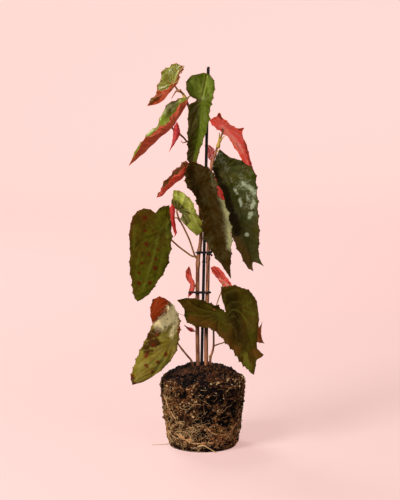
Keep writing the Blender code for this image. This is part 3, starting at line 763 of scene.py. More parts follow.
@dataclass(frozen=True)
class StemFinish(Finish):
    """Green wood: the tones of its skin's lit and shaded sides in random streaks, and corky spots. Its kind
    layer lays the young colour on.
    """

    # first and second: the skin's tone on its lit side and on its shaded side
    first: Colour
    second: Colour
    young: Colour
    cork: Colour

    def colour(self, paint: Paint, effects: Effects) -> None:
        """Builds the nodes: blotches and grain drawn out along the stem, and cells for the cork.

        Args:
            paint: the material's paint.
            effects: the shared effects.
        """
        stretch = paint.node("Mapping")
        place = paint.place()
        paint.feed(stretch.inputs["Vector"], place)
        stretch.inputs["Scale"].default_value = (1.0, 1.0, 0.16)
        where = stretch.outputs[0]
        streaks = paint.group(effects.blotch, Where=where, Scale=420.0, Edge=0.12)["Mask"]
        grain = paint.noise(where, 1400.0, 4.0, 0.6)
        cells = paint.texture("Voronoi", place, 210.0).outputs["Distance"]
        corky = paint.reach(cells, 0.10, 0.16, 0.55, 0.0)
        colour = paint.mix(corky, paint.mix(streaks, self.first, self.second), self.cork)
        colour = paint.mix(paint.layer("kind"), colour, self.young)
        height = paint.plus(grain, paint.times(corky, 0.8))
        paint.surface(colour, paint.reach(grain, 0.3, 0.7, 0.36, 0.58), height, 0.5, 0.0003)


@dataclass(frozen=True)
class SoilFinish(Finish):
    """Moist peat: brown crumbs with near-black painted shade in the gaps, and tan fibre."""

    deep: Colour
    crumb: Colour
    light: Colour
    fibre: Colour

    def colour(self, paint: Paint, effects: Effects) -> None:
        """Builds the nodes. Roots turn the side tan by the fibre layer, and the hollow layer lays near-black
        painted shade and dark patches.

        Args:
            paint: the material's paint.
            effects: the shared effects.
        """
        place = paint.place()
        crumb = paint.group(effects.crumb, Where=place, Scale=430.0)
        blotch = paint.group(effects.blotch, Where=place, Scale=120.0, Edge=0.14)
        hollow = paint.layer("hollow")
        colour = paint.mix(crumb["Tone"], self.crumb, self.light)
        # The crumb gaps and the hollow layer paint near-black shade; the blotches are darker peat.
        for share in (paint.times(blotch["Mask"], 0.45), crumb["Gap"], hollow):
            colour = paint.mix(share, colour, self.deep)
        strands = paint.reach(paint.noise(place, 900.0, 5.0, 0.7), 0.45, 0.62)
        open_share = paint.times(paint.layer("fibre"), paint.less(1.0, hollow))
        share = paint.times(open_share, paint.plus(paint.times(strands, 0.75), 0.1))
        colour = paint.mix(share, colour, self.fibre)
        rough = paint.reach(crumb["Tone"], 0.0, 1.0, 0.72, 0.98)
        paint.surface(colour, rough, crumb["Height"], 0.9, 0.0012)
        paint.fix(Specular_IOR_Level=0.12)


@dataclass(frozen=True)
class ClodFinish(Finish):
    """Crumbs of peat and bark: near black, brown or cream, as their kind layer runs from 0 to 1."""

    deep: Colour
    middle: Colour
    light: Colour

    def colour(self, paint: Paint, effects: Effects) -> None:
        """Builds the nodes: the crumb's tone by its kind, darkened in blotches.

        Args:
            paint: the material's paint.
            effects: the shared effects.
        """
        blotch = paint.group(effects.blotch, Where=paint.place(), Scale=600.0, Edge=0.2)
        kind = paint.layer("kind")
        colour = paint.mix(paint.reach(kind, 0.0, 0.5), self.deep, self.middle)
        colour = paint.mix(paint.reach(kind, 0.5, 1.0), colour, self.light)
        colour = paint.mix(paint.times(blotch["Mask"], 0.35), colour, self.deep)
        paint.surface(colour, paint.reach(blotch["Fine"], 0.3, 0.7, 0.6, 0.9), blotch["Fine"], 0.6, 0.0004)
        paint.fix(Specular_IOR_Level=0.15)


@dataclass(frozen=True)
class TwoToneFinish(Finish):
    """A plain thing that varies between two colours, such as perlite, a root or black plastic.

    by_kind takes most of the share of the second colour from the kind layer.
    """

    first: Colour
    second: Colour
    scale: float
    rough: tuple[float, float]
    bump: float = 0.0002
    by_kind: bool = False

    def colour(self, paint: Paint, effects: Effects) -> None:
        """Builds the nodes: blotches of the second colour over the first.

        Args:
            paint: the material's paint.
            effects: the shared effects.
        """
        blotch = paint.group(effects.blotch, Where=paint.place(), Scale=self.scale, Edge=0.2)
        share = blotch["Mask"]
        if self.by_kind:
            share = paint.plus(paint.times(share, 0.4), paint.times(paint.layer("kind"), 0.6))
        colour = paint.mix(share, self.first, self.second)
        rough = paint.reach(blotch["Fine"], 0.3, 0.7, *self.rough)
        paint.surface(colour, rough, blotch["Fine"], 0.5, self.bump)


class Zone(Enum):
    """What a mark on a leaf turns its colour to: PALE to a pale tone and painted highlights, DARK to a dark
    tone and painted shade.
    """

    PALE = "pale"
    DARK = "dark"
    WARM = "warm"
    SPOT = "spot"


@dataclass(frozen=True)
class Mark:
    """A place on a leaf with its zone's colour, which is a tone of the leaf, painted shade or a painted
    highlight: a dot, or a stroke through several places in the view.
    """

    zone: Zone
    places: tuple
    width: float
    share: float = 1.0
    soft: float = 0.75
    ragged: float = 0.7

    def cover(self, seen: Array, wobble: Array) -> Array:
        """How much of the mark lies on each point.

        The distance to the stroke, made uneven by the wobble, falls softly from 1 inside to 0 outside.

        Args:
            seen: an array (..., 2) of the points' places in the view.
            wobble: an array (...) from -1 to 1.

        Returns:
            An array (...) from 0 to share.
        """
        ends = np.array(self.places, float)
        ends = ends if len(ends) > 1 else ends.repeat(2, 0)
        near = np.full(seen.shape[:-1], 1e9)
        for start, end in zip(ends, ends[1:]):
            way = end - start
            part = np.clip(((seen - start) @ way) / max(way @ way, 1e-9), 0, 1)
            near = np.minimum(near, np.linalg.norm(seen - start - part[..., None] * way, axis=-1))
        near = np.maximum(near + self.ragged * self.width * wobble, 0)
        return self.share * (1 - ramp(near, self.width * (1 - self.soft), self.width * (1 + self.soft)))


def stroke(zone: Zone, width: float, share: float, *places: tuple, **edge: float) -> Mark:
    """A mark drawn through places in the view.

    Args:
        zone: what it turns the leaf's colour to.
        width: half of its width in the view.
        share: how much of the zone's colour it lays on.
        places: where it passes.
        edge: how soft and how ragged its edge is, as shares of the width.

    Returns:
        The mark.
    """
    return Mark(zone, places, width, share, **edge)


# pale strokes lay pale tones and painted highlights, dark strokes dark tones and painted shade
pale, dark, warm = (partial(stroke, zone) for zone in (Zone.PALE, Zone.DARK, Zone.WARM))


def dots(width: float, *places: tuple, share: float = 1.0) -> list[Mark]:
    """Spots of one width.

    Args:
        width: half of a spot's width in the view.
        places: where they lie.
        share: how much of the spot colour they lay on.

    Returns:
        One mark for each place.
    """
    return [Mark(Zone.SPOT, (place,), width, share) for place in places]


@dataclass(frozen=True)
class Spike:
    """A long tooth: its place along the leaf, its side, the width of its foot, and how far it goes."""

    along: float
    side: int
    width: float
    reach: tuple


@dataclass(frozen=True)
class Blade:
    """A leaf lofted through rows of three spots (one edge, the middle, the other edge) from tip to tip.

    attach is where its stalk meets it, along from 0 to 1 and across from -1 to 1. upper is 1 where the rows'
    own normal is the upper side, and -1 where it is the underside.
    """

    name: str
    rows: tuple
    attach: tuple
    finish: LeafFinish
    slot: str = "leaf_green"
    teeth: int = 11
    tooth: float = 0.0013
    wave: float = 0.0010
    upper: int = 1
    crease: float = 0.5
    spikes: tuple = ()
    marks: tuple = ()
    freckles: int = 0
    columns: int = 41
    thickness: float = 0.0006

    stations_a_tooth = 12
    bunching = 0.8
    large_leaf = 0.07
    vein_turns = (0.0, 0.42, 0.85, 1.35, 1.85, 2.35, 2.78, math.pi)
    side_vein_gap = 0.0085
    side_vein_share = 0.6
    puff = 0.0005
    vein_depth = 0.0016
    dimple_depth = 0.0012
    dimple_size = 0.010
    rib_height = 0.0005
    freckle_sizes = (0.0008, 0.0019)

    def edges(self, along: Array) -> tuple[Array, Array, Array]:
        """The leaf's lines lengthwise.

        Args:
            along: places along, from 0 to 1.

        Returns:
            One edge, the middle and the other edge, three arrays (n, 1, 3).
        """
        rows = [row if len(row) == 3 else (row[0],) * 3 for row in self.rows]
        curves = curve_through(FrontView.world(np.array(rows, float)), along * (len(rows) - 1))
        return tuple(curves[:, None, part] for part in range(3))

    def sheet(self, along: Array, across: Array, fine: bool = True) -> Array:
        """The blade's middle surface.

        Straight lines and a parabola from edge to edge, mixed by the crease. A saw with hollow flanks pushes
        the edge outwards, each tooth to its own length and with smaller teeth beside it. A sine ripple lifts
        the edge. Spikes pull single teeth out.

        Args:
            along: places along, from 0 to 1.
            across: places across, from -1 to 1.
            fine: whether the smaller teeth are cut.

        Returns:
            An array (n, m, 3) in metres.
        """
        edge_a, middle, edge_b = self.edges(along)
        v = across[None, :, None]
        u = along[:, None, None]
        size = np.abs(v)
        half = np.where(v < 0, edge_a - middle, edge_b - middle)
        bowed = middle + (edge_b - edge_a) / 2 * v + (edge_a + edge_b - 2 * middle) / 2 * v**2
        points = (middle + half * size) * self.crease + bowed * (1 - self.crease)
        ends = np.minimum(1, 6 * u * (1 - u))
        outward = half / np.maximum(np.linalg.norm(half, axis=-1, keepdims=True), 0.003)
        saw = np.abs(2 * ((u * self.teeth) % 1) - 1) - 0.5
        if fine:
            turn = np.round(u * self.teeth) * 2.4 + np.sign(v)
            small = np.abs(2 * ((u * self.teeth * 3) % 1) - 1) ** 1.6 - 0.35
            saw = ((saw + 0.5) ** 1.9 - 0.35) * (1.35 + 0.55 * np.sin(turn * 5)) + 0.45 * small
        points = points + outward * saw * self.tooth * ends * size**4
        face = unit(np.cross(np.gradient(points, axis=0), edge_b - edge_a))
        ripple = np.sin(FULL_TURN * u * self.teeth * 0.42 + 1.7 * np.sign(v))
        points = points + face * ripple * self.wave * ends * size**2
        for spike in self.spikes:
            foot = bell(u - spike.along, spike.width) * np.clip(v * spike.side, 0, 1) ** 4
            points = points + foot * np.array([spike.reach[0], 0, spike.reach[1]]) / 1000
        return points

    def laid_flat(self, along: Array, across: Array) -> Array:
        """The leaf's own flat plan.

        Args:
            along: places along, from 0 to 1.
            across: places across, from -1 to 1.

        Returns:
            An array (n, m, 2) in metres: length along the middle, and distance from it.
        """
        edge_a, middle, edge_b = self.edges(along)
        steps = np.linalg.norm(np.diff(middle[:, 0], axis=0), axis=-1)
        length = np.concatenate([[0], np.cumsum(steps)])
        halves = [np.linalg.norm(edge - middle, axis=-1) for edge in (edge_a, edge_b)]
        aside = np.where(across[None] < 0, *halves) * across[None]
        return np.stack([np.broadcast_to(length[:, None], aside.shape), aside], -1)

    def root_of(self, flat: Array, along: Array, across: Array) -> Array:
        """The stalk's place.

        Args:
            flat: the flat plan (n, m, 2).
            along: the places along that it has.
            across: the places across that it has.

        Returns:
            The two values of the flat plan there.
        """
        ways = ((self.attach[0], along), (self.attach[1], across))
        row, col = (int(round(np.interp(at, way, np.arange(len(way))))) for at, way in ways)
        return flat[row, col]

    def veins(self, away: Array, length: float, width: float) -> tuple[Array, Array]:
        """The main veins and the side veins on the flat plan.

        Main veins run out from the stalk at fixed turns and bend towards the nearer tip. Side veins leave
        the middle one in a herringbone. Each fades as a bell of its distance.

        Args:
            away: the flat plan (n, m, 2), measured from the stalk's place.
            length: the leaf's length in metres.
            width: half of a main vein's width in metres.

        Returns:
            The main and the side veins, two arrays (n, m) from 0 to 1.
        """
        far = np.linalg.norm(away, axis=-1)
        turn = np.arctan2(away[..., 1], away[..., 0])
        bend = 1 - 0.55 * np.clip(far / length, 0, 1)
        main = np.zeros(far.shape)
        for start, sign in itertools.product(self.vein_turns, (1, -1)):
            aim = start * bend if start < 1.6 else HALF_TURN - (HALF_TURN - start) * bend
            miss = np.abs((turn - sign * aim + HALF_TURN) % FULL_TURN - HALF_TURN)
            strength = 1.0 if start in (0.0, HALF_TURN) else 0.72
            main = np.maximum(main, strength * bell(miss * far, width * bend) * (miss < 0.9))
        aside = np.abs(away[..., 1])
        run = (np.abs(away[..., 0]) - aside * (0.9 + 9 * aside)) / self.side_vein_gap
        miss = np.abs(run - np.round(run)) * self.side_vein_gap * 0.74
        return np.clip(main, 0, 1), bell(miss, 0.45 * width) * ramp(run, 0.8, 1.3) * 0.7

    def build(self, effects: Effects) -> Piece:
        """The leaf as one thin closed shell in place of its plain blade, dressed.

        The middle surface is pleated: sunk at the veins, puffed between them. The two sides stand half the
        thickness off it along its normal, thinner towards the edge, with ribs on the underside.

        Args:
            effects: the shared effects.

        Returns:
            The leaf's piece.
        """
        stations = self.stations_a_tooth * self.teeth + 1
        along = np.linspace(0, 1, stations)
        bunch = HALF_TURN / 2 * self.bunching
        across = np.sin(np.linspace(-1, 1, self.columns) * bunch) / math.sin(bunch)
        points = self.sheet(along, across)
        flat = self.laid_flat(along, across)
        away = flat - self.root_of(flat, along, across)
        length = flat[-1, 0, 0]
        size = min(1.0, length / self.large_leaf)
        width = 0.00055 + 0.00035 * size
        main, side = self.veins(away, length, width)
        broad, broad_side = self.veins(away, length, 3.2 * width)
        ends = np.minimum(1, 8 * along * (1 - along))[:, None]
        edge = 1 - ramp(np.abs(across), 0.86, 1.0)[None]
        seat = bell(np.linalg.norm(away, axis=-1), 0.004)
        sunk = self.vein_depth * np.maximum(broad, self.side_vein_share * broad_side)
        pleat = self.puff - sunk + self.dimple_depth * lumps(points, self.dimple_size, 3)
        points = points + self.normal(points) * (size * pleat * ends * edge * (1 - seat))[..., None]
        normal = self.normal(points)
        half = self.thickness / 2 * (0.45 + 0.55 * (1 - across[None] ** 4)) * np.ones((stations, 1))
        rib = self.rib_height * size * np.maximum(main, self.side_vein_share * side) * edge * ends
        sides = [points + normal * half[..., None], points - normal * (half + rib)[..., None]]
        first, second = sides[:: self.upper]
        rings = np.concatenate([first, second[:, ::-1]], 1)
        toward = self.upper * np.einsum("ijk,ijk->ij", normal, unit(FrontView.eye - points))
        front = ramp(np.concatenate([toward, -toward[:, ::-1]], 1), -0.10, 0.05)
        on_top = np.full(main.shape, float(self.upper > 0))
        rim = ramp(np.abs(across), 0.93, 1.0)[None] * np.ones((stations, 1))
        layers = {"side": np.concatenate([on_top, 1 - on_top], 1)}
        layers |= {"vein": self.twice(np.maximum(main, 0.75 * side)), "rim": self.twice(rim)}
        layers |= self.colour_zones(rings, self.twice(flat), 0.15 + 0.85 * front)
        return self.close(rings, self.twice(flat), layers, effects)

    def normal(self, points: Array) -> Array:
        """The directions out of the upper side of a sheet of points (n, m, 3)."""
        return unit(np.cross(np.gradient(points, axis=0), np.gradient(points, axis=1))) * self.upper

    @staticmethod
    def twice(values: Array) -> Array:
        """The values of a sheet (n, m, ...) for both its sides, as they follow each other round a ring."""
        return np.concatenate([values, values[:, ::-1]], 1)

    def colour_zones(self, rings: Array, flat: Array, front: Array) -> dict[str, Array]:
        """The marks gathered by zone, with freckles strewn over the flat plan.

        Args:
            rings: the shell's points (n, ring, 3).
            flat: their places on the flat plan.
            front: an array (n, ring) of how far each point faces the eye. Marks fade where it doesn't.

        Returns:
            An array (n, ring) for each zone's name.
        """
        seen = FrontView.seen_at(rings)
        wobble = lumps(rings, 0.006, 7) * 0.6 + lumps(rings, 0.0025, 8) * 0.5
        zones = {zone.value: np.zeros(rings.shape[:2]) for zone in Zone}
        for mark in self.marks:
            zones[mark.zone.value] = np.maximum(zones[mark.zone.value], mark.cover(seen, wobble) * front)
        chance = np.random.default_rng(len(self.name) + self.teeth)
        low, high = flat.reshape(-1, 2).min(0), flat.reshape(-1, 2).max(0)
        for spot in chance.uniform(low, high, (self.freckles, 2)):
            size = chance.uniform(*self.freckle_sizes)
            near = np.linalg.norm(flat - spot, axis=-1) * (1 + 0.25 * wobble)
            zones["spot"] = np.maximum(zones["spot"], 1 - ramp(near, 0.6 * size, 1.4 * size))
        return zones

    def close(self, rings: Array, flat: Array, layers: dict[str, Array], effects: Effects) -> Piece:
        """Joins the rings in one shell, closed to a point or by a strip at each end, and dresses it.

        Args:
            rings: the shell's points (n, ring, 3).
            flat: their flat places.
            layers: the values kept for the material.
            effects: the shared effects.

        Returns:
            The leaf's piece.
        """
        stations, ring = rings.shape[:2]
        pointed = [len(self.rows[end]) == 1 for end in (0, -1)]
        first, last = int(pointed[0]), stations - 1 - int(pointed[1])
        count = (last + 1 - first) * ring
        quads = [ring_quads(last + 1 - first, ring)[:, ::-1]]
        triangles = []
        pick = [np.arange(count) + first * ring]
        strip = np.arange(ring // 2 - 1)
        poles = (0, stations - 1)
        bases = (0, count - ring)
        for pole, base, is_start, is_point in zip(poles, bases, (True, False), pointed):
            if is_point:
                triangles.append(fan(ring, base, count + len(pick) - 1, is_start))
                pick.append(np.array([pole * ring + ring // 4]))
            else:
                cap = base + np.stack([strip, strip + 1, ring - 2 - strip, ring - 1 - strip], -1)
                quads.append(cap if is_start else cap[:, ::-1])
        chosen = np.concatenate(pick)
        sharp = np.concatenate(triangles) if triangles else None
        piece = build_mesh(self.name + "_fine", rings.reshape(-1, 3)[chosen], np.concatenate(quads), sharp)
        mark_points(piece, **{name: values.reshape(-1)[chosen] for name, values in layers.items()})
        spread_flat(piece, flat.reshape(-1, 2)[chosen] * 10)
        self.finish.dress(piece, effects)
        log.info("%s: %d points", piece.name, len(chosen))
        return hand_over(piece, self.name)


# A leaf's colours in order: upper side, underside, pale, dark, warm, spot, vein, vein below and rim. Pale is
# also the colour of painted highlights, and dark of painted shade.
CROWN = LeafFinish(
    "leaf_crown", (110, 112, 20), (250, 124, 90), (196, 200, 110), (60, 66, 10), (128, 60, 26), (92, 34, 20),
    (190, 190, 110), (250, 170, 140), (150, 66, 36), gloss=0.4, shine=0.14, mottle=0.15, glow=0.6, painted_glow=0.06,
    painted_sheen=0.1, grain=0.12,
)
LONG = LeafFinish(
    "leaf_long", (126, 140, 20), (216, 92, 62), (214, 220, 150), (74, 84, 14), (110, 62, 24), (80, 30, 20),
    (170, 170, 80), (236, 140, 104), (128, 60, 34), gloss=0.4, shine=0.12, mottle=0.08, glow=0.2, painted_glow=0.04,
    painted_sheen=0.1, flake=1.0, grain=0.15,
)
TOP = LeafFinish(
    "leaf_top", (94, 108, 12), (110, 84, 36), (150, 164, 66), (74, 52, 10), (88, 44, 20), (80, 30, 20),
    (130, 144, 60), (140, 120, 60), (84, 76, 20), vein_share=0.35, gloss=0.38, shine=0.14, mottle=0.12,
    painted_sheen=0.08, flake=0.8,
)
CRIMSON = LeafFinish(
    "leaf_crimson", (236, 84, 88), (246, 92, 96), (250, 150, 140), (110, 26, 30), (196, 48, 26),
    (110, 20, 30), (170, 34, 44), (180, 40, 50), (176, 50, 48), vein_share=0.45, mottle=0.3, glow=0.9,
    painted_glow=0.05,
)
CORAL = LeafFinish(
    "leaf_coral", (255, 94, 82), (255, 98, 82), (255, 186, 168), (96, 34, 26), (146, 42, 28), (120, 30, 30),
    (255, 140, 124), (255, 146, 128), (134, 54, 36), vein_share=0.6, mottle=0.25, glow=0.9, painted_glow=0.22,
)
GLOSSY = LeafFinish(
    "leaf_glossy", (78, 80, 14), (94, 60, 34), (178, 182, 146), (38, 22, 3), (122, 88, 34), (70, 28, 18),
    (44, 44, 10), (124, 84, 50), (70, 60, 24), vein_share=0.45, gloss=0.24, shine=0.06, mottle=0.25,
    painted_sheen=0.28, flake=1.0,
)
DARK_OLIVE = LeafFinish(
    "leaf_dark_olive", (60, 40, 3), (104, 64, 34), (176, 170, 118), (28, 17, 3), (62, 34, 4), (96, 30, 14),
    (34, 24, 5), (130, 90, 50), (70, 52, 16), vein_share=0.35, shine=0.0, painted_sheen=0.08,
)
FOLDED = LeafFinish(
    "leaf_folded", (96, 66, 18), (230, 92, 70), (140, 124, 60), (50, 30, 12), (140, 48, 30), (80, 26, 18),
    (60, 40, 16), (160, 44, 36), (118, 48, 28), mottle=0.4, glow=0.5, painted_glow=0.04,
)
LIME = LeafFinish(
    "leaf_lime", (152, 162, 32), (176, 188, 70), (222, 220, 118), (74, 66, 8), (120, 86, 30), (110, 50, 24),
    (206, 210, 120), (206, 210, 124), (150, 116, 46), gloss=0.36, shine=0.2, mottle=0.0, glow=0.25, painted_glow=0.05,
)
OLIVE = LeafFinish(
    "leaf_olive", (84, 80, 9), (118, 76, 36), (120, 126, 40), (34, 24, 6), (86, 46, 12), (84, 22, 8),
    (96, 94, 30), (140, 98, 56), (92, 66, 24), vein_share=0.4, gloss=0.55, shine=0.01, grain=0.35,
)
PALE_OLIVE = LeafFinish(
    "leaf_pale_olive", (138, 128, 30), (138, 72, 40), (248, 224, 166), (64, 28, 6), (146, 48, 10),
    (110, 34, 14), (158, 146, 76), (160, 96, 60), (128, 84, 36), vein_share=0.45, gloss=0.45, shine=0.02,
    mottle=0.22, painted_sheen=0.2, flake=1.2, grain=0.25,
)
LOW_OLIVE = LeafFinish(
    "leaf_low_olive", (72, 56, 7), (112, 72, 34), (112, 116, 34), (40, 28, 4), (98, 58, 18), (170, 84, 60),
    (100, 94, 32), (140, 100, 54), (92, 68, 24), shine=0.02, grain=0.3,
)
RUSSET = LeafFinish(
    "leaf_russet", (160, 92, 44), (196, 112, 56), (190, 104, 76), (60, 28, 14), (130, 60, 26), (60, 22, 14),
    (90, 44, 20), (120, 56, 30), (90, 40, 22), shine=0.08, mottle=0.3, painted_glow=0.12,
)
GREEN_WOOD = StemFinish("cane_skin", (206, 132, 88), (112, 56, 38), (212, 176, 62), (184, 142, 100))
PEAT = SoilFinish("peat", (10, 5, 4), (84, 44, 26), (214, 136, 80), (252, 170, 84))
PERLITE = TwoToneFinish("perlite", (236, 214, 178), (196, 168, 128), 700.0, (0.6, 0.85), 0.0003)
CLODS = ClodFinish("peat_clods", (14, 7, 5), (104, 58, 34), (255, 212, 146))
ROOT_SKIN = TwoToneFinish("root_skin", (255, 216, 152), (214, 104, 42), 260.0, (0.5, 0.75), by_kind=True)
STAKE_BLACK = TwoToneFinish("stake_black", (20, 19, 20), (34, 32, 32), 300.0, (0.2, 0.34))
TIE_BLACK = TwoToneFinish("tie_black", (16, 15, 16), (30, 28, 28), 900.0, (0.38, 0.6))

